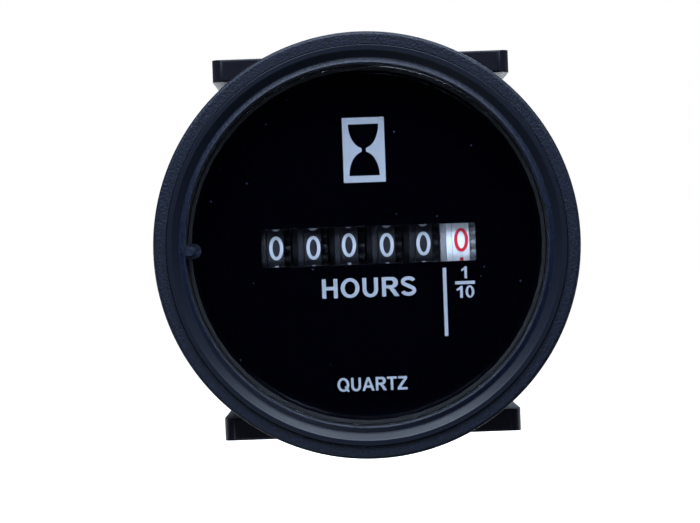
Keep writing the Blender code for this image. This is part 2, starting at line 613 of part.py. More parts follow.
def make_number_wheel(place):
    """A drum with a printed band, a smooth strip and lock disc at its left and 20 teeth at its right."""
    bore = WHEEL_SHAFT_RADIUS + RUN
    root = COUNTER_MODULE * (WHEEL_TEETH / 2 - RING_TOOTH["under"]) - OVERLAP / 2
    lock_radius = centre_distance(COUNTER_MODULE, WHEEL_TEETH) - PINION_TIP - RUN
    band_right = -BAND_LEFT
    groove_left = BAND_LEFT - GROOVE_WIDTH
    profile = [(root, TOOTH_RING_RIGHT), (root, band_right), (WHEEL_RADIUS, band_right)]
    profile += [(WHEEL_RADIUS, BAND_LEFT), (WHEEL_RADIUS - GROOVE_DEPTH, (BAND_LEFT + groove_left) / 2)]
    profile += [(WHEEL_RADIUS, groove_left), (WHEEL_RADIUS, STRIP_LEFT), (lock_radius, STRIP_LEFT)]
    profile += [(lock_radius, LOCK_LEFT), (bore, LOCK_LEFT), (bore, TOOTH_RING_RIGHT)]
    name = "wheel_" + WHEEL_NAMES[place]
    look = WHEEL_WHITE if WHEEL_NAMES[place] == "tenths" else WHEEL_BLACK
    wheel = turned_across(name, profile, COUNTER_AXIS, look, WHEEL_X[place], WHEEL_SEGMENTS, closed=True)
    teeth = gear_outline(WHEEL_TEETH, COUNTER_MODULE, RING_TOOTH)
    centre = ring_points((bore + root) / 2, WHEEL_SEGMENTS)
    left = WHEEL_X[place] + band_right - OVERLAP
    width = TOOTH_RING_WIDTH + OVERLAP * 0.8
    ring = plate_across(name + "_teeth", [teeth, centre], left, width, None, COUNTER_AXIS, CUTTERS)
    combine(wheel, ring, "UNION")


def make_transfer_pinion(place):
    """Eight teeth that mesh with the wheel on their left. Every second one is short."""
    name = "pinion_to_" + WHEEL_NAMES[place]
    left = WHEEL_X[place] - BAND_LEFT + FIT / 2
    right = WHEEL_X[place + 1] + STRIP_LEFT - FIT / 2
    start = meshing_start(math.radians(TRANSFER_ANGLE), 0.0, WHEEL_TEETH)
    bore = ring_points(PINION_SHAFT_RADIUS + RUN, ROD_SEGMENTS)
    all_teeth = gear_outline(PINION_TEETH, COUNTER_MODULE, PINION_TOOTH, start)
    pinion = plate_across(name, [all_teeth, bore], left, TOOTH_RING_WIDTH, NATURAL_PLASTIC, TRANSFER_AXIS)
    long_teeth = gear_outline(PINION_TEETH, COUNTER_MODULE, PINION_TOOTH, start, skip=2)
    long_left = left + TOOTH_RING_WIDTH - OVERLAP
    long_bore = ring_points(PINION_SHAFT_RADIUS + 2 * RUN, ROD_SEGMENTS)
    outlines = [long_teeth, long_bore]
    width = right - long_left
    long_part = plate_across(name + "_long", outlines, long_left, width, None, TRANSFER_AXIS, CUTTERS)
    combine(pinion, long_part, "UNION")


def make_compound_gear(name, axis, look, small, large, ends):
    """A pinion and a gear on one arbor. Each of small and large is (outline, left, width)."""
    arbor = rod(name, ARBOR_RADIUS, *ends, axis, look)
    for part, (outline, left, width) in (("pinion", small), ("gear", large)):
        piece = plate_across(f"{name}_{part}", [outline], left, width, None, axis, CUTTERS)
        combine(arbor, piece, "UNION")


def make_gear_train():
    drive_direction = math.radians(DRIVE_ANGLE)
    second_direction = math.radians(SECOND_ANGLE)
    rotor_direction = math.radians(ROTOR_ANGLE)
    drive_start = meshing_start(drive_direction, 0.0, WHEEL_TEETH)
    small = gear_outline(PINION_TEETH, COUNTER_MODULE, PINION_TOOTH, drive_start)
    large = gear_outline(DRIVE_TEETH, DRIVE_MODULE, GEAR_TOOTH)
    pinion_left = WHEEL_X[-1] - BAND_LEFT + FIT / 2
    pinion_width = RIGHT_PLATE_X - FIT - pinion_left
    make_compound_gear(
        "drive_gear",
        DRIVE_AXIS,
        NATURAL_PLASTIC,
        (small, pinion_left, pinion_width),
        (large, DRIVE_GEAR_X, GEAR_THICKNESS),
        (pinion_left - RUN, BRIDGE_X + BRIDGE_THICKNESS + FIT),
    )
    second_start = meshing_start(second_direction, 0.0, DRIVE_TEETH)
    small = gear_outline(PINION_TEETH, DRIVE_MODULE, PINION_TOOTH, second_start)
    large = gear_outline(SECOND_TEETH, MOTOR_MODULE, GEAR_TOOTH)
    make_compound_gear(
        "second_gear",
        SECOND_AXIS,
        NATURAL_PLASTIC,
        (small, DRIVE_GEAR_X - FIT / 2, GEAR_THICKNESS + FIT),
        (large, SECOND_GEAR_X, GEAR_THICKNESS),
        (RIGHT_PLATE_X - FIT, BRIDGE_X + BRIDGE_THICKNESS + FIT),
    )
    rotor_start = meshing_start(rotor_direction, 0.0, SECOND_TEETH)
    outline = gear_outline(PINION_TEETH, MOTOR_MODULE, PINION_TOOTH, rotor_start)
    ends = (MOTOR_PLATE_X - FIT, BRIDGE_X + BRIDGE_THICKNESS + FIT)
    shaft = rod("rotor_shaft", ARBOR_RADIUS, *ends, ROTOR_AXIS, STEEL)
    pinion = plate_across(
        "rotor_pinion", [outline], SECOND_GEAR_X - FIT / 2, GEAR_THICKNESS + FIT, None, ROTOR_AXIS, CUTTERS
    )
    combine(shaft, pinion, "UNION")
    magnet = [(MAGNET_RADIUS, MAGNET_LENGTH), (MAGNET_RADIUS, 0)]
    magnet += [(ARBOR_RADIUS + RUN, 0), (ARBOR_RADIUS + RUN, MAGNET_LENGTH)]
    turned_across("rotor_magnet", magnet, ROTOR_AXIS, BLACK_PLASTIC, MAGNET_X, 24, closed=True)


def make_motor():
    edge = [(STATOR_FRONT, LEG_END), (STATOR_FRONT + STATOR_LEG, LEG_END)]
    edge += [(STATOR_FRONT + STATOR_LEG, STATOR_LOW), (STATOR_REAR - STATOR_LEG, STATOR_LOW)]
    edge += [(STATOR_REAR - STATOR_LEG, LEG_END), (STATOR_REAR, LEG_END), (STATOR_REAR, STATOR_TOP)]
    edge += [(STATOR_FRONT + 1.4 * STATOR_NOTCH, STATOR_TOP), (STATOR_FRONT, STATOR_TOP - STATOR_NOTCH)]
    screws = [hole(MOTOR_SCREW_RADIUS + FIT, centre) for centre in MOTOR_SCREWS.values()]
    openings = [hole(STATOR_HOLE, ROTOR_AXIS, 24), *screws]
    plate_across("stator", [edge, *openings], STATOR_X, STATOR_THICKNESS, STEEL)
    low = (CORE_X, STATOR_FRONT, COIL_Z - CORE_HEIGHT / 2)
    high = (CORE_X + STATOR_THICKNESS, STATOR_REAR, COIL_Z + CORE_HEIGHT / 2)
    block("coil_core", low, high, STEEL)
    at = (CORE_X + STATOR_THICKNESS / 2, COIL_Z)
    front = STATOR_FRONT + STATOR_LEG + FIT
    back = STATOR_REAR - STATOR_LEG - FIT
    bore = math.hypot(STATOR_THICKNESS, CORE_HEIGHT) / 2 + RUN
    bobbin = [(BOBBIN_RADIUS, front), (BOBBIN_RADIUS, front + BOBBIN_FLANGE)]
    bobbin += [(BOBBIN_TUBE_RADIUS, front + BOBBIN_FLANGE), (BOBBIN_TUBE_RADIUS, back - BOBBIN_FLANGE)]
    bobbin += [(BOBBIN_RADIUS, back - BOBBIN_FLANGE), (BOBBIN_RADIUS, back), (bore, back), (bore, front)]
    turned_back("coil_bobbin", bobbin, NATURAL_PLASTIC, at, 20, closed=True)
    start = front + BOBBIN_FLANGE + WINDING_GAP
    stop = back - BOBBIN_FLANGE - WINDING_GAP
    outer = BOBBIN_RADIUS - 2 * WINDING_GAP
    winding = [(outer, start), (outer, stop)]
    winding += [(BOBBIN_TUBE_RADIUS + WINDING_GAP, stop), (BOBBIN_TUBE_RADIUS + WINDING_GAP, start)]
    turned_back("coil_winding", winding, COPPER, at, 20, closed=True)
    top = TRANSFER_AXIS[1] - PINION_TIP - 2 * FIT
    front_edge = STATOR_FRONT + STATOR_LEG / 3
    edge = [(front_edge, STATOR_LOW), (STATOR_REAR, STATOR_LOW), (STATOR_REAR, top), (front_edge, top)]
    holes = [hole(ARBOR_RADIUS + RUN, ROTOR_AXIS), *screws]
    plate_across("motor_plate", [edge, *holes], MOTOR_PLATE_X, BRIDGE_THICKNESS, BRASS)
    for place, centre in MOTOR_SCREWS.items():
        head = MOTOR_PLATE_X - FIT
        ends = (head - MOTOR_SCREW_HEAD, RIGHT_PLATE_OUT)
        profile = [(0, ends[1]), (MOTOR_SCREW_RADIUS, ends[1]), (MOTOR_SCREW_RADIUS, head)]
        profile += [(2 * MOTOR_SCREW_RADIUS, head), (2 * MOTOR_SCREW_RADIUS, ends[0]), (0, ends[0])]
        turned_across(f"motor_screw_{place}", profile, centre, STEEL)


def make_bridge():
    right = BRIDGE_X + BRIDGE_THICKNESS
    front, back = BRIDGE_PILLARS["front"], BRIDGE_PILLARS["rear"]
    margin = 3 * ARBOR_RADIUS
    low = ROTOR_AXIS[1] - margin
    rear = max(back[0], SECOND_AXIS[0]) + margin
    edge = [(front[0] - margin, low), (SECOND_AXIS[0] + 2 * margin, low), (rear, SECOND_AXIS[1])]
    edge += [(rear, back[1] + margin), (back[0] - 2 * margin, back[1] + margin)]
    edge += [(DRIVE_AXIS[0] - margin, DRIVE_AXIS[1] + 2 * margin), (front[0] - margin, front[1] + margin)]
    arbors = [hole(ARBOR_RADIUS + RUN, axis) for axis in (DRIVE_AXIS, SECOND_AXIS, ROTOR_AXIS)]
    pillars = [hole(PILLAR_END_RADIUS + FIT, centre) for centre in (front, back)]
    plate_across("bridge_plate", [edge, *arbors, *pillars], BRIDGE_X, BRIDGE_THICKNESS, BRASS)
    middle_part = (BRIDGE_PILLAR_RADIUS, RIGHT_PLATE_OUT + FIT, BRIDGE_X - FIT)
    for place, centre in BRIDGE_PILLARS.items():
        ends = (RIGHT_PLATE_X, right + FIT)
        rod(f"bridge_pillar_{place}", PILLAR_END_RADIUS, *ends, centre, BRASS, middle_part)


def make_board():
    left = LEFT_PLATE_X - BOARD_THICKNESS
    right = DRIVE_GEAR_X - FIT
    middle = ((left + right) / 2, 0)
    edge = rounded_box(right - left, BOARD_HEIGHT, BOARD_CORNER, middle)
    plate_facing("circuit_board", [edge], BOARD_Y, BOARD_THICKNESS, GREEN_BOARD)
    face = BOARD_Y - FIT
    chip_low = (CHIP_AT[0] - CHIP_SIZE[0] / 2, face - CHIP_THICKNESS, CHIP_AT[1] - CHIP_SIZE[1] / 2)
    chip_high = (CHIP_AT[0] + CHIP_SIZE[0] / 2, face, CHIP_AT[1] + CHIP_SIZE[1] / 2)
    block("timer_chip", chip_low, chip_high, BLACK_PLASTIC)
    can = [(0, CRYSTAL_LENGTH), (CRYSTAL_RADIUS, CRYSTAL_LENGTH), (CRYSTAL_RADIUS, 0), (0, 0)]
    turned_across("crystal_can", can, (face - CRYSTAL_RADIUS, CRYSTAL_AT[1]), TIN, CRYSTAL_AT[0])
    pin("capacitor", CAPACITOR_RADIUS, face - CAPACITOR_LENGTH, face, CAPACITOR_AT, SMOOTH_BLACK)
    end = 0.5 * RESISTOR_RADIUS
    waist = RESISTOR_RADIUS - 0.2 * end
    resistor_x = LEFT_PLATE_X + PLATE_THICKNESS + RESISTOR_INSET
    for name, z in RESISTORS_Z.items():
        body = [(0, RESISTOR_LENGTH), (waist, RESISTOR_LENGTH), (RESISTOR_RADIUS, RESISTOR_LENGTH - end)]
        body += [(RESISTOR_RADIUS, end), (waist, 0), (0, 0)]
        turned_across(name, body, (face - RESISTOR_RADIUS, z), NATURAL_PLASTIC, resistor_x)
    for number in range(DIODE_COUNT):
        centre = (face - DIODE_RADIUS, DIODES_AT[1] - DIODE_PITCH * number)
        body = [(0, DIODE_LENGTH), (DIODE_RADIUS, DIODE_LENGTH), (DIODE_RADIUS, 0), (0, 0)]
        turned_across(f"diode_{number + 1}", body, centre, BLACK_PLASTIC, DIODES_AT[0])


def make_coil_leads():
    """Two fine wires from the coil's rear flange to the board."""
    start_y = STATOR_REAR - STATOR_LEG + FIT
    start_x = CORE_X - LEAD_SIDE - FIT
    end_x = MOTOR_PLATE_X - BRIDGE_THICKNESS - BOBBIN_TUBE_RADIUS
    for name, drop, side in (("coil_lead_start", 0.0, 0.0), ("coil_lead_end", LEAD_DROP, LEAD_SIDE)):
        begin = (start_x, start_y, COIL_Z + CORE_HEIGHT / 2 - drop)
        end = (end_x - side, BOARD_Y - FIT, COIL_Z + 2 * CORE_HEIGHT - drop)
        curve = bpy.data.curves.new(name, "CURVE")
        curve.dimensions = "3D"
        curve.bevel_depth = LEAD_RADIUS
        curve.bevel_resolution = 2
        curve.use_fill_caps = True
        spline = curve.splines.new("POLY")
        spline.points.add(LEAD_POINTS - 1)
        for number, point in enumerate(spline.points):
            share = number / (LEAD_POINTS - 1)
            ease = share * share * (3 - 2 * share)
            x = begin[0] + (end[0] - begin[0]) * ease
            y = begin[1] + (end[1] - begin[1]) * share
            z = begin[2] + (end[2] - begin[2]) * ease
            point.co = (x, y, z, 1)
        wire = bpy.data.objects.new(name, curve)
        bpy.data.collections[PARTS].objects.link(wire)
        curve.materials.append(finish(name, *COPPER))


def make_rear_cover():
    slot = (BLADE_THICKNESS + 2 * FIT, BLADE_WIDTH + 2 * FIT)
    blades = [rounded_box(*slot, FIT, (x, 0), 1) for x in (-BLADE_X, BLADE_X)]
    studs = [hole(STUD_RADIUS + FIT, (x, 0)) for x in (-STUD_X, STUD_X)]
    edge = flatted_circle(BARREL_RADIUS, FLAT_HEIGHT)
    cover = plate_facing("rear_cover", [edge, *blades, *studs], COVER_Y, COVER_THICKNESS, BLACK_PLASTIC)
    outside = flatted_circle(CAVITY_RADIUS - FIT, CAVITY_FLAT - FIT)
    inside = flatted_circle(CAVITY_RADIUS - FIT - WALL, CAVITY_FLAT - FIT - WALL)
    front = COVER_Y - COVER_SKIRT
    skirt = plate_facing("cover_skirt", [outside, inside], front, COVER_SKIRT + OVERLAP, None, CUTTERS)
    combine(cover, skirt, "UNION")


def make_terminals():
    front = BOARD_BACK_Y + FIT
    back = COVER_BACK_Y + BLADE_REACH
    half = BLADE_WIDTH / 2
    edge = [(front, -half), (back - BLADE_TAPER, -half), (back, -half + BLADE_TAPER)]
    edge += [(back, half - BLADE_TAPER), (back - BLADE_TAPER, half), (front, half)]
    eye = hole(BLADE_HOLE_RADIUS, (back - BLADE_HOLE_INSET, 0))
    for name, x in (("terminal_left", -BLADE_X), ("terminal_right", BLADE_X)):
        plate_across(name, [edge, eye], x - BLADE_THICKNESS / 2, BLADE_THICKNESS, TIN)


def make_fixings():
    """Two studs in the rear cover, with a washer and a nut on each behind the bracket."""
    head = COVER_Y - FIT - STUD_HEAD_THICKNESS
    for side, x in (("left", -STUD_X), ("right", STUD_X)):
        stud = [(0, head), (STUD_HEAD_RADIUS, head), (STUD_HEAD_RADIUS, COVER_Y - FIT)]
        stud += [(STUD_RADIUS, COVER_Y - FIT), (STUD_RADIUS, STUD_END_Y - STUD_CHAMFER)]
        stud += [(STUD_RADIUS - STUD_CHAMFER, STUD_END_Y), (0, STUD_END_Y)]
        turned_back(f"stud_{side}", stud, STEEL, (x, 0), ROD_SEGMENTS)
        bore = STUD_RADIUS + FIT
        washer = [(WASHER_RADIUS, WASHER_Y), (WASHER_RADIUS, WASHER_Y + WASHER_THICKNESS)]
        washer += [(bore, WASHER_Y + WASHER_THICKNESS), (bore, WASHER_Y)]
        turned_back(f"washer_{side}", washer, STEEL, (x, 0), 24, closed=True)
        corner = NUT_ACROSS_FLATS / math.sqrt(3)
        outline = ring_points(corner, 6, math.radians(30), (x, 0))
        plate_facing(f"nut_{side}", [outline, hole(bore, (x, 0))], NUT_Y, NUT_THICKNESS, BRASS)


def make_bracket():
    """A U of black plastic: two legs that press on the panel from behind, joined by a web.

    Their ends are hollowed out to the panel hole's radius, so on a thin panel they pass over the spigot.
    """
    inner = FLAT_HEIGHT + BRACKET_GAP
    outer = inner + BRACKET_THICKNESS
    toe = PANEL_THICKNESS
    bend = BRACKET_BEND
    turns = [math.radians(90 * step / 4) for step in range(5)]
    top = [(WEB_BACK_Y - bend + bend * math.sin(a), outer - bend + bend * math.cos(a)) for a in turns]
    low = [(y, -z) for y, z in reversed(top)]
    edge = [(toe, inner), (toe, outer), *top, *low, (toe, -outer), (toe, -inner)]
    edge += [(WEB_Y, -inner), (WEB_Y, inner)]
    width = 2 * BRACKET_HALF_WIDTH
    bracket = plate_across("bracket", [edge], -BRACKET_HALF_WIDTH, width, SMOOTH_BLACK)
    hair = 0.01 * MM
    length = WEB_BACK_Y + OVERRUN - toe
    corners = rounded_box(width + hair, length + hair, BRACKET_CORNER, (0, toe + length / 2))
    height = 2 * (outer + OVERRUN)
    shell = plate("bracket_corners", [corners], height, (0, 0, -height / 2), (0, 0, 0), None, CUTTERS)
    combine(bracket, shell, "INTERSECT")
    relief_end = toe + SPIGOT_DEPTH
    relief = [(0, toe - OVERRUN), (PANEL_HOLE_RADIUS, toe - OVERRUN)]
    relief += [(PANEL_HOLE_RADIUS, relief_end), (0, relief_end)]
    combine(bracket, turned_back("toe_relief", relief, None, group=CUTTERS), "DIFFERENCE")
    web_front = WEB_Y - OVERRUN
    web_back = WEB_BACK_Y + OVERRUN
    size = (2 * (STUD_X - WASHER_RADIUS), BRACKET_OPENING_HEIGHT)
    opening = rounded_box(*size, BRACKET_OPENING_CORNER)
    cutter = plate_facing("bracket_opening", [opening], web_front, web_back - web_front, None, CUTTERS)
    combine(bracket, cutter, "DIFFERENCE")
    for x in (-STUD_X, STUD_X):
        drill = pin("stud_drill", STUD_RADIUS + FIT, web_front, web_back, (x, 0), None, CUTTERS)
        combine(bracket, drill, "DIFFERENCE")


clear_scene()
make_housing()
make_front_ring()
make_lens()
make_dial()
make_frame()
for wheel_place in range(len(WHEEL_NAMES)):
    make_number_wheel(wheel_place)
for wheel_place in range(len(WHEEL_NAMES) - 1):
    make_transfer_pinion(wheel_place)
make_gear_train()
make_motor()
make_bridge()
make_board()
make_coil_leads()
make_rear_cover()
make_terminals()
make_fixings()
make_bracket()
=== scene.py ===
"""A round quartz hour meter for a panel: the pieces that show, their finishes, the camera and the studio."""

import math

import bmesh
import bpy
from mathutils import Matrix, Vector


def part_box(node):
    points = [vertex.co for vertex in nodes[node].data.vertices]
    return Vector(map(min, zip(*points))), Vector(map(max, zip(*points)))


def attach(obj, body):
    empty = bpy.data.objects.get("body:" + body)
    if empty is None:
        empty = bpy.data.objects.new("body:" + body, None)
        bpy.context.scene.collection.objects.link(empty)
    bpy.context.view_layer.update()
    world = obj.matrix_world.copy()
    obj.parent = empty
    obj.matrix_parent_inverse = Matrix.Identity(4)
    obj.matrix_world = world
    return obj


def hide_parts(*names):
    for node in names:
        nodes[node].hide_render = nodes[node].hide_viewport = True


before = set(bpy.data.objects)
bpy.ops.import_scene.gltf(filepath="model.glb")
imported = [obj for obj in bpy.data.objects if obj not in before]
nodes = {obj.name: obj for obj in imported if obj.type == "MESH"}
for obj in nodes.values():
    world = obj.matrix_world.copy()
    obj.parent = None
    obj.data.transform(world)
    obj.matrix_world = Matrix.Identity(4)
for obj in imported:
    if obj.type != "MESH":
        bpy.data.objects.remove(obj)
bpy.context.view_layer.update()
MM = 0.001


# Camera: straight in front of the dial, a little low and to the left, and turned slightly,
# so that the meter stands right of and above the middle and leans to its left.
TURN = math.radians(2.05)
DISTANCE = 350 * MM
FRAME_WIDTH = 97.06 * MM
OFFSET = (2.36 * MM, 2.29 * MM)
SENSOR = 36.0

right_way = Vector((math.cos(TURN), 0, -math.sin(TURN)))
up_way = Vector((math.sin(TURN), 0, math.cos(TURN)))
crest = Vector((0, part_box("front_ring")[0].y, 0))
lens_data = bpy.data.cameras.new("camera")
lens_data.sensor_width = SENSOR
lens_data.lens = SENSOR * DISTANCE / FRAME_WIDTH
lens_data.clip_start = 0.01
camera = bpy.data.objects.new("camera", lens_data)
camera.location = crest - right_way * OFFSET[0] - up_way * OFFSET[1] - Vector((0, DISTANCE, 0))
camera.rotation_euler = (math.radians(90), TURN, 0)
bpy.context.scene.collection.objects.link(camera)
bpy.context.scene.camera = camera
bpy.context.scene.view_settings.view_transform = "Standard"


# Studio: a white tent lit from above, open and dark on the side that the dial faces, so that the
# lens and the gloss dial have nothing bright to mirror.
SKY_WHITE = 1.0
TENT_TOP = 0.15
TENT_SIDE = 0.035
OPEN_SIDE = 0.01
COOL_WHITE = (0.72, 0.84, 1.0)


def way_out(source):
    """A node's first output in use; anything else is left as it is."""
    if isinstance(source, bpy.types.Node):
        return next(socket for socket in source.outputs if socket.enabled)
    return source


def shade(tree, kind, inputs=None, to=None, **settings):
    """Adds a node: its settings, each input set or linked, and its output linked to a socket."""
    made = tree.nodes.new("ShaderNode" + kind)
    for name, value in settings.items():
        setattr(made, name, value)
    for socket, value in (inputs or {}).items():
        value = way_out(value)
        if isinstance(value, bpy.types.NodeSocket):
            tree.links.new(value, made.inputs[socket])
        else:
            made.inputs[socket].default_value = value
    if to:
        tree.links.new(way_out(made), to)
    return made


world = bpy.data.worlds.new("studio_tent")
world.use_nodes = True
bpy.context.scene.world = world
tree = world.node_tree
tree.nodes.clear()
way = shade(tree, "TexCoord").outputs["Generated"]
split = shade(tree, "SeparateXYZ", {"Vector": way})
height = shade(tree, "MapRange", {
    "Value": split.outputs["Z"], "From Min": -0.1, "From Max": 0.8, "To Min": TENT_SIDE, "To Max": TENT_TOP,
}, interpolation_type="SMOOTHSTEP")
opening = shade(tree, "MapRange", {
    "Value": split.outputs["Y"], "From Min": -0.55, "From Max": -0.9, "To Min": 1.0, "To Max": OPEN_SIDE,
}, interpolation_type="SMOOTHSTEP")
glow = shade(tree, "Math", {
    0: height, 1: opening,
}, operation="MULTIPLY")
tent = shade(tree, "Background", {"Color": (*COOL_WHITE, 1), "Strength": glow})
seen = shade(tree, "Background", {"Color": (1, 1, 1, 1), "Strength": SKY_WHITE})
ray = shade(tree, "LightPath").outputs["Is Camera Ray"]
both = shade(tree, "MixShader", {0: ray, 1: tent, 2: seen})
shade(tree, "OutputWorld", {"Surface": both})


def softbox(name, place, aim, size, power):
    """A square lamp at a place, facing a point."""
    data = bpy.data.lights.new(name, "AREA")
    data.shape = "RECTANGLE"
    data.size, data.size_y = size
    data.energy = power
    data.color = COOL_WHITE
    lamp = bpy.data.objects.new(name, data)
    lamp.location = place
    lamp.rotation_euler = (Vector(aim) - Vector(place)).to_track_quat("-Z", "Y").to_euler()
    bpy.context.scene.collection.objects.link(lamp)


softbox("softbox_left", (-0.17, -0.26, 0.46), (0, 0, 0), (0.34, 0.36), 4.0)
softbox("softbox_right", (0.18, -0.25, 0.46), (0, 0, 0), (0.34, 0.36), 3.9)
softbox("softbox_top", (0.0, -0.10, 0.50), (0, 0, 0), (0.60, 0.30), 0.3)
softbox("softbox_low", (-0.14, -0.40, -0.34), (0, 0, 0), (0.30, 0.30), 0.8)
softbox("softbox_rear", (0.10, 0.45, 0.30), (0, 0.03, 0), (0.35, 0.30), 1.4)


def linear(hex_code):
    """An sRGB hex colour as linear red, green, blue and alpha."""
    parts = [int(hex_code[place:place + 2], 16) / 255 for place in (1, 3, 5)]
    return (*[part / 12.92 if part <= 0.04045 else ((part + 0.055) / 1.055) ** 2.4 for part in parts], 1.0)


# Floor: a table with a lit top of opal acrylic, well below the meter and just behind it, where
# the dial and the front ring can't mirror it.
FLOOR_LEVEL = -62 * MM
FLOOR_HALF = 3.0
FLOOR_EDGE = 0.05

floor_data = bpy.data.meshes.new("opal_table")
floor_data.from_pydata([
    (-FLOOR_HALF, FLOOR_EDGE, 0), (FLOOR_HALF, FLOOR_EDGE, 0),
    (FLOOR_HALF, 2 * FLOOR_HALF, 0), (-FLOOR_HALF, 2 * FLOOR_HALF, 0),
], [], [(0, 1, 2, 3)])
floor = bpy.data.objects.new("opal_table", floor_data)
floor.location.z = FLOOR_LEVEL
bpy.context.scene.collection.objects.link(floor)
opal = bpy.data.materials.new("lit_opal_acrylic")
opal.use_nodes = True
look = opal.node_tree.nodes["Principled BSDF"].inputs
look["Base Color"].default_value = linear("#F4F4F2")
look["Roughness"].default_value = 0.6
look["Emission Color"].default_value = (1, 1, 1, 1)
look["Emission Strength"].default_value = 1.0
floor_data.materials.append(opal)


# Housing: flange and barrel in one moulding of black ABS, with a flat along the barrel's top
# and bottom. The tool was spark-eroded, so its faces have a fine grain: its sparkle is painted
# glints, and its pits have painted shade.
SEGMENTS = 180
SPIGOT_RADIUS = 25.7 * MM
SPIGOT_END = 2.4 * MM
BARREL_RADIUS = 25.5 * MM
BARREL_FLAT = 23.4 * MM
CAVITY_RADIUS = 24.4 * MM
CAVITY_FLAT = 22.3 * MM
RECESS_RADIUS = 27.9 * MM
RECESS_BOTTOM = -1.95 * MM
SEAL_BORE = 26.6 * MM
SEAL_LEDGE = -0.2 * MM
SIGHT_RADIUS = 24.0 * MM
DIAL_BORE = 24.6 * MM
DIAL_POCKET = (0.5 * MM, 1.25 * MM)
HAIR = 0.02 * MM  # a step too small to see
GRAIN = 0.34  # mm between the grain's peaks: twice the real grain, which would be too fine to show


def rounded(corners, steps=4):
    """A closed outline of corners (u, v, radius), each one with a radius turned into an arc."""
    points = []
    ring = [Vector(corner[:2]) for corner in corners]
    for number, (here, corner) in enumerate(zip(ring, corners)):
        before, after = ring[number - 1], ring[(number + 1) % len(ring)]
        radius = corner[2] if len(corner) > 2 else 0
        if not radius:
            points.append(here)
            continue
        back, ahead = (before - here).normalized(), (after - here).normalized()
        half_turn = back.angle(ahead) / 2
        centre = here + (back + ahead).normalized() * radius / math.sin(half_turn)
        start = back * radius / math.tan(half_turn) + here - centre
        stop = ahead * radius / math.tan(half_turn) + here - centre
        reach = start.length
        points += [centre + start.slerp(stop, step / steps).normalized() * reach for step in range(steps + 1)]
    return points


def turned(outline, turns, axis="Y", centre=(0, 0), limit=None):
    """A mesh turned about an axis along Y or X from a closed outline of (radius, place along the axis)."""
    shape = bmesh.new()
    rings = []
    for turn in turns:
        ring = []
        for radius, along in outline:
            reach = limit(radius, along, turn) if limit else radius
            across, up = centre[0] + reach * math.cos(turn), centre[1] + reach * math.sin(turn)
            ring.append(shape.verts.new((across, along, up) if axis == "Y" else (along, across, up)))
        rings.append(ring)
    for one, two in zip(rings, rings[1:] + rings[:1]):
        for number in range(len(outline)):
            shape.faces.new((one[number - 1], one[number], two[number], two[number - 1]))
    bmesh.ops.remove_doubles(shape, verts=shape.verts, dist=1e-7)
    bmesh.ops.recalc_face_normals(shape, faces=shape.faces)
    return shape


def piece(name, shape, *finishes, sharp=35, weighted=True):
    """Makes an object from a mesh, smooth but for its sharp edges, with its materials."""
    data = bpy.data.meshes.new(name)
    shape.to_mesh(data)
    shape.free()
    for finish in finishes:
        data.materials.append(finish)
    data.shade_smooth()
    data.set_sharp_from_angle(angle=math.radians(sharp))
    made = bpy.data.objects.new(name, data)
    bpy.context.scene.collection.objects.link(made)
    if weighted:
        normals = made.modifiers.new("flat_faces", "WEIGHTED_NORMAL")
        normals.keep_sharp = True
    return made


def turns_round(count, *extra):
    """Even turns round a circle, with some more at given angles."""
    return sorted([2 * math.pi * step / count for step in range(count)] + list(extra))


def flat_edges(radius, flat):
    """Where a circle meets the flats across its top and bottom."""
    edge = math.asin(flat / radius)
    return [edge, math.pi - edge, math.pi + edge, 2 * math.pi - edge]


def per_mm(size):
    """Scale of a noise whose features are that many millimetres apart."""
    return 1 / (size * MM)


def plastic(name, colour, roughness, ior=1.5):
    """A new Principled material, its tree, its shader's inputs and the object's own coordinates."""
    made = bpy.data.materials.new(name)
    made.use_nodes = True
    inside = made.node_tree
    look = inside.nodes["Principled BSDF"].inputs
    look["Base Color"].default_value = linear(colour)
    look["Roughness"].default_value = roughness
    look["IOR"].default_value = ior
    place = shade(inside, "TexCoord").outputs["Object"]
    return made, inside, look, place


def eroded_abs(name, colour, pale, grain, depth, roughness):
    """ABS from a spark-eroded tool: small pits, with painted shade that darkens the colour in them and
    painted glints for a few bright facets.
    """
    made, inside, look, place = plastic(name, colour, roughness, ior=1.54)
    look["Specular IOR Level"].default_value = 0.3
    pits = shade(inside, "TexNoise", {
        "Vector": place, "Scale": per_mm(grain), "Detail": 2.0, "Roughness": 0.6,
    })
    shade(inside, "Bump", {"Height": pits, "Distance": depth * MM, "Strength": 1.0},
          to=look["Normal"])
    specks = shade(inside, "TexVoronoi", {"Vector": place, "Scale": per_mm(grain * 3)})
    # Painted glints: bright spots put into the colour, past the paler colour, where the facets would sparkle.
    dust_and_glint_speck = shade(inside, "MapRange", {
        "Value": specks, "From Min": 0.05, "From Max": 0.14, "To Min": 3.5, "To Max": 0.0,
    })
    # Painted shade in the pits: the colour follows the bump, darker where it is low and paler where it is
    # high.
    painted_pit_shade = shade(inside, "MapRange", {"Value": pits, "From Min": 0.35, "From Max": 0.65})
    mixed = shade(inside, "Math", {0: dust_and_glint_speck, 1: painted_pit_shade}, operation="ADD")
    shade(inside, "Mix", {
        "Factor": mixed, "A": linear(colour), "B": linear(pale),
    }, data_type="RGBA", clamp_factor=False, to=look["Base Color"])
    return made


def polished_abs(name, colour):
    """ABS from a polished tool: a gloss like glass, broken by a very shallow waviness."""
    made, inside, look, place = plastic(name, colour, 0.06, ior=1.54)
    waves = shade(inside, "TexNoise", {"Vector": place, "Scale": per_mm(2.5), "Detail": 1.0})
    shade(inside, "Bump", {"Height": waves, "Distance": 0.003 * MM, "Strength": 0.4},
          to=look["Normal"])
    return made


# Its second colour is the paler one, of the painted glints and of the rises between the painted shade of the
# pits.
HOUSING_ABS = eroded_abs("spark_eroded_black_abs", "#070B16", "#111A2F", GRAIN, 0.1, 0.5)
low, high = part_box("housing")


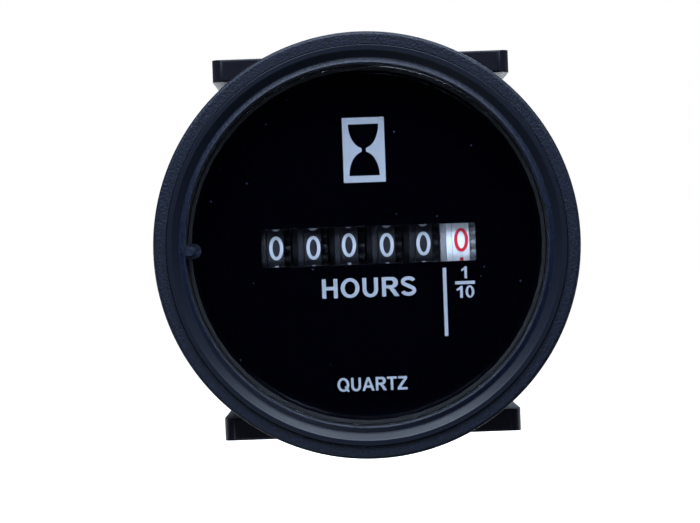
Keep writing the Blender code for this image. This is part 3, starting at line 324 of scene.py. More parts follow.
def barrel_shape(radius, along, turn):
    """Behind the spigot, the barrel and its cavity are cut off at the flats."""
    if along <= SPIGOT_END:
        return radius
    flat = BARREL_FLAT if radius > (BARREL_RADIUS + CAVITY_RADIUS) / 2 else CAVITY_FLAT
    return min(radius, flat / max(abs(math.sin(turn)), 1e-6))


housing_outline = rounded([
    (RECESS_RADIUS, low.y, 0.07 * MM), (high.x, low.y, 0.55 * MM), (high.x, 0, 0.15 * MM),
    (SPIGOT_RADIUS, 0, 0.1 * MM), (SPIGOT_RADIUS, SPIGOT_END, 0.08 * MM), (BARREL_RADIUS, SPIGOT_END + HAIR),
    (BARREL_RADIUS, high.y, 0.2 * MM), (CAVITY_RADIUS, high.y, 0.1 * MM),
    (CAVITY_RADIUS, SPIGOT_END + HAIR), (CAVITY_RADIUS, DIAL_POCKET[1]), (DIAL_BORE, DIAL_POCKET[1]),
    (DIAL_BORE, DIAL_POCKET[0]), (SIGHT_RADIUS, DIAL_POCKET[0], 0.05 * MM),
    (SIGHT_RADIUS, SEAL_LEDGE, 0.05 * MM), (SEAL_BORE, SEAL_LEDGE, 0.05 * MM),
    (SEAL_BORE, RECESS_BOTTOM, 0.08 * MM), (RECESS_RADIUS, RECESS_BOTTOM, 0.08 * MM),
], steps=5)
edges = flat_edges(BARREL_RADIUS, BARREL_FLAT) + flat_edges(CAVITY_RADIUS, CAVITY_FLAT)
shape = turned(housing_outline, turns_round(SEGMENTS, *edges), limit=barrel_shape)
housing = piece("housing_shell", shape, HOUSING_ABS, polished_abs("polished_black_abs", "#030306"), sharp=20)
for face in housing.data.polygons:
    inside_seal = math.hypot(face.center.x, face.center.z) < SEAL_BORE + HAIR
    face.material_index = int(inside_seal and SEAL_LEDGE - HAIR < face.center.y < DIAL_POCKET[1])
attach(housing, "meter_body")
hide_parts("housing")


# Front ring: pressed into the flange's recess to hold the lens. A satin moulding in black ABS
# with a rounded crest and a cone, and a blasted lip round the lens with a locating key on it.
PRESSED_RADIUS = 27.85 * MM  # it fills the recess, where a light press holds it
RING_BORE = 25.3 * MM
LIP_HEIGHT = 0.2 * MM
VALLEY_RADIUS = 26.1 * MM
VALLEY_DROP = 0.15 * MM
CONE_TOP = 27.0 * MM
KEY_RADIUS = 0.64 * MM
KEY_CENTRE = -24.70 * MM
KEY_GAP = 0.2 * MM
OVERRUN = 1.0 * MM  # of a cutting tool past the piece
KEY_FOOT = (1.06 * MM, -24.16 * MM)  # radius and centre of the wider foot behind the lens


def satin_abs(name, colour, roughness):
    """ABS from a fine-stoned tool: nearly smooth, with fine rub marks that dull its shine."""
    made, inside, look, place = plastic(name, colour, roughness, ior=1.54)
    look["Specular IOR Level"].default_value = 0.2
    stretch = shade(inside, "Mapping", {"Vector": place, "Scale": (1.0, 0.25, 1.0)})
    rub = shade(inside, "TexNoise", {
        "Vector": stretch, "Scale": per_mm(0.5), "Detail": 4.0, "Roughness": 0.65,
    })
    shade(inside, "MapRange", {
        "Value": rub, "From Min": 0.3, "From Max": 0.7,
        "To Min": roughness - 0.05, "To Max": roughness + 0.08,
    }, to=look["Roughness"])
    shade(inside, "Bump", {"Height": rub, "Distance": 0.004 * MM, "Strength": 0.8},
          to=look["Normal"])
    return made


SATIN_ABS = satin_abs("satin_black_abs", "#161A25", 0.36)
# Its second colour is the paler one, of the painted glints and of the rises between the painted shade of the
# pits.
BLASTED_ABS = eroded_abs("blasted_black_abs", "#0A0F1C", "#172138", GRAIN, 0.09, 0.44)


def cut(made, tool, operation="DIFFERENCE", sharp=30):
    """Cuts a tool out of an object, or joins it on, for good, and removes the tool."""
    finishing = list(made.modifiers)
    for modifier in finishing:
        modifier.show_viewport = False
    change = made.modifiers.new(tool.name, "BOOLEAN")
    change.operation = operation
    change.object = tool
    change.solver = "EXACT"
    bpy.context.view_layer.update()
    whole = made.evaluated_get(bpy.context.evaluated_depsgraph_get())
    made.data = bpy.data.meshes.new_from_object(whole)
    made.data.shade_smooth()
    made.data.set_sharp_from_angle(angle=math.radians(sharp))
    made.modifiers.remove(change)
    for modifier in finishing:
        modifier.show_viewport = True
    bpy.data.objects.remove(tool, do_unlink=True)


def slab(name, outlines, front, back, *finishes, bevel=0.0, facing="front"):
    """A plate cut to outlines, the first its edge and the rest its holes.

    Facing front, outlines are (x, z) and it runs from y = front to back; facing side, they are
    (y, z) and it runs from x = front to back; facing up, they are (x, y) and it runs from z = front.
    """
    curve = bpy.data.curves.new(name, "CURVE")
    curve.dimensions = "2D"
    curve.fill_mode = "BOTH"
    curve.extrude = (back - front) / 2
    for outline in outlines:
        spline = curve.splines.new("POLY")
        spline.points.add(len(outline) - 1)
        for point, (u, v) in zip(spline.points, outline):
            point.co = (u, v, 0, 1)
        spline.use_cyclic_u = True
    drawn = bpy.data.objects.new(name, curve)
    bpy.context.scene.collection.objects.link(drawn)
    bpy.context.view_layer.update()
    data = bpy.data.meshes.new_from_object(drawn.evaluated_get(bpy.context.evaluated_depsgraph_get()))
    bpy.data.objects.remove(drawn, do_unlink=True)
    shape = bmesh.new()
    shape.from_mesh(data)
    middle = (front + back) / 2
    if facing == "front":
        stand = Matrix(((1, 0, 0, 0), (0, 0, -1, middle), (0, 1, 0, 0), (0, 0, 0, 1)))
    elif facing == "side":
        stand = Matrix(((0, 0, 1, middle), (1, 0, 0, 0), (0, 1, 0, 0), (0, 0, 0, 1)))
    else:
        stand = Matrix.Translation((0, 0, middle))
    bmesh.ops.remove_doubles(shape, verts=shape.verts, dist=1e-7)
    bmesh.ops.transform(shape, matrix=stand, verts=shape.verts)
    bmesh.ops.dissolve_limit(shape, angle_limit=math.radians(0.5), verts=shape.verts, edges=shape.edges)
    bmesh.ops.recalc_face_normals(shape, faces=shape.faces)
    made = piece(name, shape, *finishes, sharp=30)
    if bevel:
        edges = made.modifiers.new("broken_edges", "BEVEL")
        edges.width = bevel
        edges.segments = 3
        edges.limit_method = "ANGLE"
        edges.angle_limit = math.radians(40)
        made.modifiers.move(len(made.modifiers) - 1, 0)
    return made


def arc(centre, radii, start, stop, steps=12):
    """Points on an ellipse from one angle to another, in degrees."""
    angles = [math.radians(start + (stop - start) * step / steps) for step in range(steps + 1)]
    return [(centre[0] + radii[0] * math.cos(a), centre[1] + radii[1] * math.sin(a)) for a in angles]


def circle(radius, centre=(0, 0), steps=96):
    return arc(centre, (radius, radius), 0, 360, steps)[:-1]


def key_nose(radius, out_to, centre=KEY_CENTRE):
    """The key's outline: a round nose that points at the middle, with straight sides."""
    return [*arc((centre, 0), (radius, radius), -90, 90), (-out_to, radius), (-out_to, -radius)]


low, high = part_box("front_ring")
lens_low, lens_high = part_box("lens")
lip_front = lens_low.y - LIP_HEIGHT
ring_outline = rounded([
    (PRESSED_RADIUS, low.y, 0.12 * MM), (PRESSED_RADIUS, high.y, 0.1 * MM), (RING_BORE, high.y, 0.05 * MM),
    (RING_BORE, lip_front, 0.05 * MM), (RING_BORE + 0.14 * MM, lip_front - 0.05 * MM, 0.05 * MM),
    (VALLEY_RADIUS, lens_low.y + VALLEY_DROP, 0.12 * MM), (CONE_TOP, low.y + 0.12 * MM, 0.12 * MM),
    (CONE_TOP + 0.16 * MM, low.y, 0.1 * MM),
], steps=5)
ring = piece("lens_ring", turned(ring_outline, turns_round(SEGMENTS)), SATIN_ABS, BLASTED_ABS, sharp=50)
for face in ring.data.polygons:
    radius = math.hypot(face.center.x, face.center.z)
    face.material_index = int(radius < VALLEY_RADIUS and face.center.y < lens_low.y + VALLEY_DROP + HAIR)
outlines = [key_nose(KEY_RADIUS, RING_BORE + 0.4 * MM)]
cut(ring, slab("key", outlines, lens_low.y - 0.12 * MM, lens_high.y + 0.3 * MM, BLASTED_ABS), "UNION")
outlines = [key_nose(KEY_FOOT[0], -KEY_CENTRE, KEY_FOOT[1])]
cut(ring, slab("foot", outlines, lens_high.y + 0.1 * MM, lens_high.y + 0.3 * MM, SATIN_ABS), "UNION")
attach(ring, "meter_body")
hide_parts("front_ring")


# Lens: a disc of clear polycarbonate with a stepped rim behind the ring, held from turning by
# the key in its notch. It is clear all through, with a bright polished edge.
LENS_RADIUS = 25.0 * MM
LENS_CHAMFER = 0.16 * MM
RIM_FRONT = -1.95 * MM


def clear_plastic(name, colour, roughness, ior):
    """Clear plastic that bends and mirrors what is seen, and lets the lamps through."""
    made, inside, look, place = plastic(name, colour, roughness, ior)
    look["Transmission Weight"].default_value = 1.0
    haze = shade(inside, "TexNoise", {"Vector": place, "Scale": per_mm(9.0), "Detail": 2.0})
    shade(inside, "MapRange", {
        "Value": haze, "To Min": roughness, "To Max": roughness + 0.02,
    }, to=look["Roughness"])
    through = shade(inside, "BsdfTransparent", {"Color": linear(colour)})
    shadow = shade(inside, "LightPath").outputs["Is Shadow Ray"]
    shade(inside, "MixShader", {0: shadow, 1: inside.nodes["Principled BSDF"], 2: through},
          to=inside.nodes["Material Output"].inputs["Surface"])
    return made


CLEAR_PC = clear_plastic("clear_polycarbonate", "#F4F6FA", 0.0, 1.585)
lens_outline = rounded([
    (0, lens_low.y), (LENS_RADIUS - LENS_CHAMFER, lens_low.y, 0.03 * MM),
    (LENS_RADIUS, lens_low.y + LENS_CHAMFER, 0.03 * MM), (LENS_RADIUS, RIM_FRONT, 0.05 * MM),
    (lens_high.x, RIM_FRONT, 0.05 * MM), (lens_high.x, lens_high.y, 0.05 * MM), (0, lens_high.y),
], steps=3)
lens = piece("lens_disc", turned(lens_outline, turns_round(SEGMENTS)), CLEAR_PC, sharp=25)
notch = slab("notch", [key_nose(KEY_RADIUS + KEY_GAP, lens_high.x + OVERRUN)],
             lens_low.y - OVERRUN, lens_high.y + OVERRUN, CLEAR_PC)
cut(lens, notch)
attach(lens, "meter_body")
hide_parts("lens")


# Lens seal: a flat ring of black nitrile rubber between the lens's rim and the housing.
def rubber(name, colour):
    """Moulded rubber: dull, with a soft bloom in its colour."""
    made, inside, look, place = plastic(name, colour, 0.85, ior=1.52)
    bloom = shade(inside, "TexNoise", {"Vector": place, "Scale": per_mm(0.8), "Detail": 4.0})
    shade(inside, "Mix", {
        "Factor": bloom, "A": linear(colour), "B": linear("#0B0B0C"),
    }, data_type="RGBA", to=look["Base Color"])
    return made


def paint(finish, *names):
    """Gives CAD pieces their finish."""
    for name in names:
        data = nodes[name].data
        data.materials.clear()
        data.materials.append(finish)


paint(rubber("black_nitrile_rubber", "#040405"), "lens_seal")


# Dial: a disc of aluminium sheet with a slot for the counter, enamelled gloss black.
WINDOW = (30.3 * MM, 5.28 * MM)
WINDOW_X = 0.1 * MM
WINDOW_CORNER = 0.25 * MM


def enamel(name, colour, roughness):
    """Stoved enamel: deep black under a hard clear gloss, with a few specks of dust."""
    made, inside, look, place = plastic(name, colour, roughness, ior=1.5)
    orange_peel = shade(inside, "TexNoise", {"Vector": place, "Scale": per_mm(1.2), "Detail": 1.0})
    shade(inside, "Bump", {
        "Height": orange_peel, "Distance": 0.002 * MM, "Strength": 0.3,
    }, to=look["Normal"])
    dust = shade(inside, "TexVoronoi", {"Vector": place, "Scale": per_mm(2.4)}, feature="F1")
    dust_and_glint_speck = shade(inside, "MapRange", {
        "Value": dust, "From Min": 0.03, "From Max": 0.07, "To Min": 0.8, "To Max": 0.0,
    })
    shade(inside, "Mix", {
        "Factor": dust_and_glint_speck, "A": linear(colour), "B": linear("#3A3E55"),
    }, data_type="RGBA", to=look["Base Color"])
    return made


def rectangle(width, height, corner, centre=(0, 0), steps=4):
    """A rectangle's outline with round corners."""
    u, v = width / 2, height / 2
    corners = [(u, v), (-u, v), (-u, -v), (u, -v)]
    return rounded([(centre[0] + a, centre[1] + b, corner) for a, b in corners], steps)


low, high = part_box("dial")
DIAL_ENAMEL = enamel("gloss_black_enamel", "#010104", 0.07)
dial = slab("dial_disc", [circle(high.x), rectangle(*WINDOW, WINDOW_CORNER, (WINDOW_X, 0))],
            low.y, high.y, DIAL_ENAMEL, bevel=0.05 * MM)
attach(dial, "meter_body")
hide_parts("dial")


# Dial print: light grey ink screened on the enamel, so it stands a hair proud of it.
# The unit, the tenths mark with its rule, the timing word, and an hourglass sign.
INK_THICKNESS = 0.02 * MM
CAP = 1.0  # letters are drawn with this height
STEM = 0.205
BAR = 0.17
BULB_STEPS = 30
STRAIGHT_NECK = 0.4  # half the length of the hourglass's straight neck, in neck widths


def ink(name, colour):
    """Screen-printed ink: matt and even, with the faint unevenness of its mesh."""
    made, inside, look, place = plastic(name, colour, 0.5, ior=1.48)
    mesh_marks = shade(inside, "TexNoise", {"Vector": place, "Scale": per_mm(0.25), "Detail": 2.0})
    vary = shade(inside, "MapRange", {
        "Value": mesh_marks, "From Min": 0.3, "From Max": 0.7, "To Min": 0.96, "To Max": 1.03,
    })
    shade(inside, "HueSaturation", {"Color": linear(colour), "Value": vary},
          to=look["Base Color"])
    return made


def round_o(width, side=STEM, edge=BAR):
    """An O: its outer and inner edge."""
    centre, over = (width / 2, CAP / 2), 0.015
    outer = arc(centre, (width / 2, CAP / 2 + over), 0, 360, 40)[:-1]
    inner = arc(centre, (width / 2 - side, CAP / 2 + over - edge), 0, 360, 40)[:-1]
    return [outer, inner]


def thick_line(path, width):
    """The closed outline of a stroke along a path."""
    lefts, rights = [], []
    for number, point in enumerate(path):
        before = path[max(number - 1, 0)]
        after = path[min(number + 1, len(path) - 1)]
        way = (Vector(after) - Vector(before)).normalized() * width / 2
        lefts.append((point[0] - way.y, point[1] + way.x))
        rights.append((point[0] + way.y, point[1] - way.x))
    return lefts + rights[::-1]


H_WIDTH, U_WIDTH = 0.80, 0.80
S_PATH = [
    *arc((0.405, 0.735), (0.285, 0.18), 15, 90, 6), *arc((0.405, 0.735), (0.285, 0.18), 105, 245, 9),
    *arc((0.405, 0.275), (0.30, 0.19), 65, -90, 10), *arc((0.405, 0.275), (0.30, 0.19), -105, -168, 5),
]
LETTERS = {  # width, space before, space after, outlines
    "H": (H_WIDTH, 0.10, 0.10, [[
        (0, 0), (STEM, 0), (STEM, 0.42), (H_WIDTH - STEM, 0.42), (H_WIDTH - STEM, 0), (H_WIDTH, 0),
        (H_WIDTH, CAP), (H_WIDTH - STEM, CAP), (H_WIDTH - STEM, 0.60), (STEM, 0.60), (STEM, CAP), (0, CAP),
    ]]),
    "O": (0.96, 0.06, 0.06, round_o(0.96)),
    "U": (U_WIDTH, 0.10, 0.10, [[
        (0, CAP), *arc((0.4, 0.38), (0.4, 0.395), 180, 360, 16), (U_WIDTH, CAP),
        (U_WIDTH - STEM, CAP), *arc((0.4, 0.38), (0.4 - STEM, 0.225), 360, 180, 12), (STEM, CAP),
    ]]),
    "R": (0.90, 0.10, 0.0, [
        [(0, 0), (STEM, 0), (STEM, 0.415), (0.28, 0.415), (0.37, 0.39), (0.43, 0.31), (0.64, 0), (0.89, 0),
         (0.76, 0.2), (0.68, 0.33), (0.60, 0.41), (0.56, 0.435),
         *arc((0.54, 0.715), (0.29, 0.285), -70, 90, 12), (0, CAP)],
        [(STEM, 0.575), *arc((0.46, 0.705), (0.12, 0.13), -90, 90, 8), (STEM, 0.835)],
    ]),
    "S": (0.81, 0.055, 0.06, [thick_line(S_PATH, 0.19)]),
    "Q": (0.96, 0.06, 0.06, [
        [*arc((0.48, 0.5), (0.48, 0.515), 8, 304, 32), (0.86, -0.075), (0.985, 0.055), (0.865, 0.165),
         *arc((0.48, 0.5), (0.48, 0.515), -35, 4, 5)],
        [*arc((0.48, 0.5), (0.275, 0.345), 0, 312, 32), (0.56, 0.315), (0.655, 0.42), (0.72, 0.36)],
    ]),
    "A": (1.0, 0.0, 0.0, [
        [(0, 0), (0.22, 0), (0.30, 0.23), (0.70, 0.23), (0.78, 0), (1.0, 0), (0.61, CAP), (0.39, CAP)],
        [(0.36, 0.40), (0.64, 0.40), (0.50, 0.79)],
    ]),
    "T": (0.79, 0.03, 0.03, [[
        (0.292, 0), (0.498, 0), (0.498, 0.83), (0.79, 0.83), (0.79, CAP), (0, CAP), (0, 0.83), (0.292, 0.83),
    ]]),
    "Z": (0.81, 0.03, 0.02, [[
        (0, 0), (0.81, 0), (0.81, 0.17), (0.27, 0.17), (0.79, 0.84), (0.79, CAP), (0.06, CAP), (0.06, 0.83),
        (0.53, 0.83), (0, 0.16),
    ]]),
    "1": (0.46, 0.08, 0.14, [[
        (0.25, 0), (0.45, 0), (0.45, CAP), (0.29, CAP), (0.2, 0.87), (0, 0.755), (0, 0.585), (0.25, 0.70),
    ]]),
    "0": (0.66, 0.06, 0.06, round_o(0.66, 0.19, 0.15)),
}


def word(text, width, height, centre_x, base_z):
    """Outlines of a word set to a width and a cap height, with its middle and its foot line."""
    outlines, pen = [], 0.0
    for number, letter in enumerate(text):
        letter_width, before, after, shapes = LETTERS[letter]
        pen += before if number else 0.0
        outlines += [[(pen + u, v) for u, v in shape] for shape in shapes]
        pen += letter_width + (after if number < len(text) - 1 else 0.0)
    wide = width / pen
    return [[(centre_x + (u - pen / 2) * wide, base_z + v * height) for u, v in shape] for shape in outlines]


def hourglass(centre, size, frame_side, frame_end, neck):
    """A filled frame with an hourglass left out of it."""
    half_width, half_height = size[0] / 2 - frame_side, size[1] / 2 - frame_end
    side, straight = [], neck * STRAIGHT_NECK
    for step in range(2 * BULB_STEPS + 1):
        v = half_height * (1 - step / BULB_STEPS)
        rise = max(0.0, (abs(v) - straight) / (half_height - straight))
        bulb = half_width * math.sqrt(1 - (1 - rise) ** 2)
        side.append((((neck / 2) ** 3 + bulb ** 3) ** (1 / 3), v))
    glass = side + [(-u, v) for u, v in reversed(side)]
    u, v = size[0] / 2, size[1] / 2
    edge = [(-u, -v), (u, -v), (u, v), (-u, v)]
    return [[(centre[0] + a, centre[1] + b) for a, b in outline] for outline in (edge, glass)]


def box_outline(left, right, bottom, top):
    return [(left, bottom), (right, bottom), (right, top), (left, top)]


GREY_INK = ink("grey_screen_ink", "#9B9FA5")
prints = {
    "print_hourglass": hourglass((0.05 * MM, 13.37 * MM), (5.9 * MM, 9.1 * MM), 0.83 * MM, 0.93 * MM,
                                 0.62 * MM),
    "print_hours": word("HOURS", 13.22 * MM, 2.70 * MM, 0.12 * MM, -7.28 * MM),
    "print_rule": [box_outline(10.49 * MM, 10.99 * MM, -13.12 * MM, -3.55 * MM)],
    "print_one": word("1", 0.80 * MM, 1.68 * MM, 13.50 * MM, -5.12 * MM),
    "print_bar": [box_outline(12.19 * MM, 14.97 * MM, -5.95 * MM, -5.50 * MM)],
    "print_ten": word("10", 2.45 * MM, 1.68 * MM, 13.60 * MM, -7.85 * MM),
    "print_quartz": word("QUARTZ", 9.82 * MM, 1.88 * MM, 0.10 * MM, -20.40 * MM),
}
for name, outlines in prints.items():
    mark = slab(name, outlines, low.y - INK_THICKNESS, low.y, GREY_INK)
    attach(mark, "meter_body")


# Number wheels: six drums moulded in acetal, black with light digits for the hours and white with
# red ones for the tenths, turning on one shaft. Each has a printed band with a smooth strip at its
# left, a ring of 20 teeth at its right, and a lock disc at its far left.
WHEEL_NAMES = ("ten_thousands", "thousands", "hundreds", "tens", "units", "tenths")
BAND_RIGHT = 1.18 * MM
BAND_LEFT = -1.18 * MM
GROOVE_WIDTH = 0.12 * MM
GROOVE_DEPTH = 0.2 * MM
STRIP_LEFT = -2.08 * MM
LOCK_LEFT = -2.88 * MM
TEETH_RIGHT = 2.12 * MM
LOCK_RADIUS = 4.65 * MM
TOOTH_ROOT = 4.594 * MM
TOOTH_TIP = 5.486 * MM
TOOTH_WIDTHS = (0.7875 * MM, 0.5775 * MM)
TEETH = 20
RING_WALL = 0.8 * MM
SINK = 0.2 * MM  # of a joined piece into the one it is joined to
BORE = 1.12 * MM
COUNTER_Y = 8.35 * MM
DIGIT_SIZE = (1.98 * MM, 3.38 * MM)
DIGIT_STROKE = 0.46 * MM
RIBBON_STEP = 0.35 * MM
MITRE_LIMIT = 0.6
DIGIT_SHIFT = (0.09, 0.10, -0.12, -0.01, -0.08, 0.01)  # mm, of each wheel's digits along it
REST_TURN = (0.0, -0.9, 0.9, -0.5, -0.4, 2.6)  # degrees that each wheel's digits stand past the middle


def moulded_acetal(name, colour, fleck, roughness):
    """Acetal: waxy and faintly marbled, with the marks of a fine-turned tool."""
    made, inside, look, place = plastic(name, colour, roughness, ior=1.48)
    flow = shade(inside, "TexNoise", {"Vector": place, "Scale": per_mm(0.45), "Detail": 3.0})
    shade(inside, "Mix", {
        "Factor": flow, "A": linear(colour), "B": linear(fleck),
    }, data_type="RGBA", to=look["Base Color"])
    grain = shade(inside, "TexNoise", {"Vector": place, "Scale": per_mm(0.12), "Detail": 2.0})
    shade(inside, "Bump", {"Height": grain, "Distance": 0.01 * MM, "Strength": 0.7},
          to=look["Normal"])
    return made


def gear_points(teeth, root, tip, widths):
    """A spur gear's outline, in (y, z) about its axis."""
    points = []
    for number in range(teeth):
        middle = 2 * math.pi * number / teeth
        for side, order in ((-1, 1), (1, -1)):
            for radius, width in ((root, widths[0]), (tip, widths[1]))[::order]:
                turn = middle + side * math.asin(width / 2 / radius)
                points.append((radius * math.cos(turn), radius * math.sin(turn)))
    return points


def digit_strokes():
    """The middle line of each digit's strokes, in a box one wide and one high about its middle."""
    half, top = 0.5, 0.5
    loop = arc((0, 0), (half, top), 0, 360, 36)
    low_loop = arc((0, -0.21), (half, 0.29), 0, 360, 30)
    hook = arc((0, 0), (half, top), 50, 180, 12) + [(-half, -0.2)]
    six = [hook, low_loop]
    return [
        [loop],
        [[(0.0, 0.56), (0.0, -0.56)]],
        [[*arc((0, 0.25), (half, 0.25), 165, -25, 14), (-half, -0.5), (0.55, -0.5)]],
        [arc((-0.04, 0.25), (0.48, 0.25), 150, -75, 14), arc((-0.04, -0.25), (0.53, 0.25), 75, -150, 14)],
        [[(0.22, -0.58), (0.22, 0.56)], [(0.16, 0.5), (-0.58, -0.2), (0.6, -0.2)]],
        [[(0.45, 0.5), (-0.36, 0.5), (-0.42, 0.06), *arc((0, -0.17), (half, 0.33), 135, -150, 16)]],
        six,
        [[(-0.5, 0.5), (0.5, 0.5), (-0.16, -0.58)]],
        [arc((0, 0.26), (0.42, 0.24), 0, 360, 26), arc((0, -0.23), (half, 0.27), 0, 360, 28)],
        [[(-u, -v) for u, v in stroke] for stroke in six],
    ]


def spaced(path, step):
    """A path with more points, none further apart than the step."""
    points = [Vector(path[0])]
    for start, stop in zip(path, path[1:]):
        start, stop = Vector(start), Vector(stop)
        count = max(1, math.ceil((stop - start).length / step))
        points += [start.lerp(stop, number / count) for number in range(1, count + 1)]
    return points


def ribbon(shape, path, width, thickness, place):
    """Adds a flat stroke along a path. place puts (u, v, height) on the surface it is printed on."""
    closed = (Vector(path[0]) - Vector(path[-1])).length < 1e-9
    points = spaced(path, RIBBON_STEP)
    points = points[:-1] if closed else points
    rows = []
    for number, point in enumerate(points):
        last = len(points) - 1
        before = points[number - 1] if closed or number else point
        after = points[(number + 1) % len(points)] if closed or number < last else point
        arrive = (point - before).normalized() if point != before else (after - point).normalized()
        leave = (after - point).normalized() if after != point else arrive
        way = (arrive + leave).normalized()
        reach = width / 2 / max(way.dot(leave), MITRE_LIMIT)
        off = Vector((-way.y, way.x)) * reach
        corners = [(point + off, thickness), (point - off, thickness), (point - off, 0), (point + off, 0)]
        rows.append([shape.verts.new(place(spot.x, spot.y, raised)) for spot, raised in corners])
    for one, two in zip(rows, rows[1:] + (rows[:1] if closed else [])):
        for number in range(4):
            shape.faces.new((one[number - 1], one[number], two[number], two[number - 1]))
    if not closed:
        shape.faces.new(rows[0])
        shape.faces.new(rows[-1][::-1])


low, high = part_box("wheel_tenths")
WHEEL_RADIUS = high.z
BLACK_ACETAL = moulded_acetal("moulded_black_acetal", "#111218", "#181A21", 0.46)
WHITE_ACETAL = moulded_acetal("moulded_white_acetal", "#FAFAFA", "#F0F1F2", 0.45)
PAD_INK = ink("grey_pad_ink", "#BEC2C8")
RED_INK = ink("red_pad_ink", "#E0142E")
wheel_outline = rounded([
    (TOOTH_ROOT - HAIR, TEETH_RIGHT, 0.05 * MM), (TOOTH_ROOT - HAIR, BAND_RIGHT),
    (WHEEL_RADIUS, BAND_RIGHT, 0.08 * MM), (WHEEL_RADIUS, BAND_LEFT, 0.06 * MM),
    (WHEEL_RADIUS - GROOVE_DEPTH, BAND_LEFT - GROOVE_WIDTH / 2),
    (WHEEL_RADIUS, BAND_LEFT - GROOVE_WIDTH, 0.04 * MM), (WHEEL_RADIUS, STRIP_LEFT, 0.08 * MM),
    (LOCK_RADIUS, STRIP_LEFT), (LOCK_RADIUS, LOCK_LEFT, 0.08 * MM), (BORE, LOCK_LEFT, 0.05 * MM),
    (BORE, TEETH_RIGHT, 0.05 * MM),
], steps=3)
teeth_outline = [(COUNTER_Y + y, z) for y, z in gear_points(TEETH, TOOTH_ROOT, TOOTH_TIP, TOOTH_WIDTHS)]
strokes = digit_strokes()
digit_reach = [(size - DIGIT_STROKE) for size in DIGIT_SIZE]
for name, shift, rest in zip(WHEEL_NAMES, DIGIT_SHIFT, REST_TURN):
    white = name == "tenths"
    finish = WHITE_ACETAL if white else BLACK_ACETAL
    band_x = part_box("wheel_" + name)[0].x - LOCK_LEFT
    outline = [(radius, band_x + along) for radius, along in wheel_outline]
    drum = piece("drum_" + name, turned(outline, turns_round(96), "X", (COUNTER_Y, 0)), finish, sharp=30)
    tooth_ring = [teeth_outline, circle(TOOTH_ROOT - RING_WALL, (COUNTER_Y, 0), 48)]
    ring_ends = (band_x + BAND_RIGHT - SINK, band_x + TEETH_RIGHT - HAIR)
    teeth = slab("teeth", tooth_ring, *ring_ends, finish, facing="side")
    cut(drum, teeth, "UNION")
    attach(drum, name + "_wheel")
    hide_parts("wheel_" + name)
    shape = bmesh.new()
    for digit, paths in enumerate(strokes):
        middle = math.radians(rest - 36 * digit)

        def on_drum(along, round_it, raised):
            turn = middle + round_it / WHEEL_RADIUS
            radius = WHEEL_RADIUS + raised
            return (band_x + shift * MM + along, COUNTER_Y - radius * math.cos(turn), radius * math.sin(turn))

        for path in paths:
            sized = [(u * digit_reach[0], v * digit_reach[1]) for u, v in path]
            ribbon(shape, sized, DIGIT_STROKE, INK_THICKNESS, on_drum)
    bmesh.ops.recalc_face_normals(shape, faces=shape.faces)
    digits = piece("digits_" + name, shape, RED_INK if white else PAD_INK, sharp=60, weighted=False)
    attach(digits, name + "_wheel")


# Counter frame: two side plates of zinc-plated steel held by turned brass pillars, with ground
# steel shafts for the wheels and for the transfer pinions between them.
def metal(name, colour, roughness, streak, tarnish=None):
    """Metal with the fine marks of how it was made, drawn out along one axis, and a little tarnish."""
    made, inside, look, place = plastic(name, colour, roughness)
    look["Metallic"].default_value = 1.0
    long_way = shade(inside, "Mapping", {"Vector": place, "Scale": streak})
    marks = shade(inside, "TexNoise", {
        "Vector": long_way, "Scale": per_mm(0.3), "Detail": 3.0,
    })
    shade(inside, "MapRange", {
        "Value": marks, "From Min": 0.3, "From Max": 0.7,
        "To Min": roughness - 0.07, "To Max": roughness + 0.09,
    }, to=look["Roughness"])
    shade(inside, "Bump", {"Height": marks, "Distance": 0.004 * MM, "Strength": 0.6},
          to=look["Normal"])
    cloud = shade(inside, "TexNoise", {"Vector": place, "Scale": per_mm(3.0), "Detail": 3.0})
    shade(inside, "Mix", {
        "Factor": cloud, "A": linear(colour), "B": linear(tarnish or colour),
    }, data_type="RGBA", to=look["Base Color"])
    return made


ZINC_STEEL = metal("zinc_plated_steel", "#B9BDC4", 0.32, (1.0, 0.15, 1.0), "#A3A8B2")
GROUND_STEEL = metal("ground_steel", "#C3C5C8", 0.18, (0.1, 1.0, 1.0))
TURNED_BRASS = metal("turned_brass", "#D9B765", 0.22, (1.0, 1.0, 1.0), "#C69E4C")
paint(ZINC_STEEL, "frame_plate_left", "frame_plate_right")
paint(GROUND_STEEL, "wheel_shaft", "pinion_shaft", "rotor_shaft")
paint(TURNED_BRASS, "frame_pillar_top", "frame_pillar_bottom", "frame_pillar_rear", "bridge_pillar_front",
      "bridge_pillar_rear")


# Transfer pinions and gears: moulded in undyed acetal, which is a milky white that lets a little
# light into its surface.
NATURAL_ACETAL = moulded_acetal("natural_acetal", "#E6E3D8", "#DEDACC", 0.42)
look = NATURAL_ACETAL.node_tree.nodes["Principled BSDF"].inputs
look["Subsurface Weight"].default_value = 0.15
look["Subsurface Radius"].default_value = (MM, MM, MM)
paint(NATURAL_ACETAL, "drive_gear", "second_gear", *("pinion_to_" + name for name in WHEEL_NAMES[:-1]))


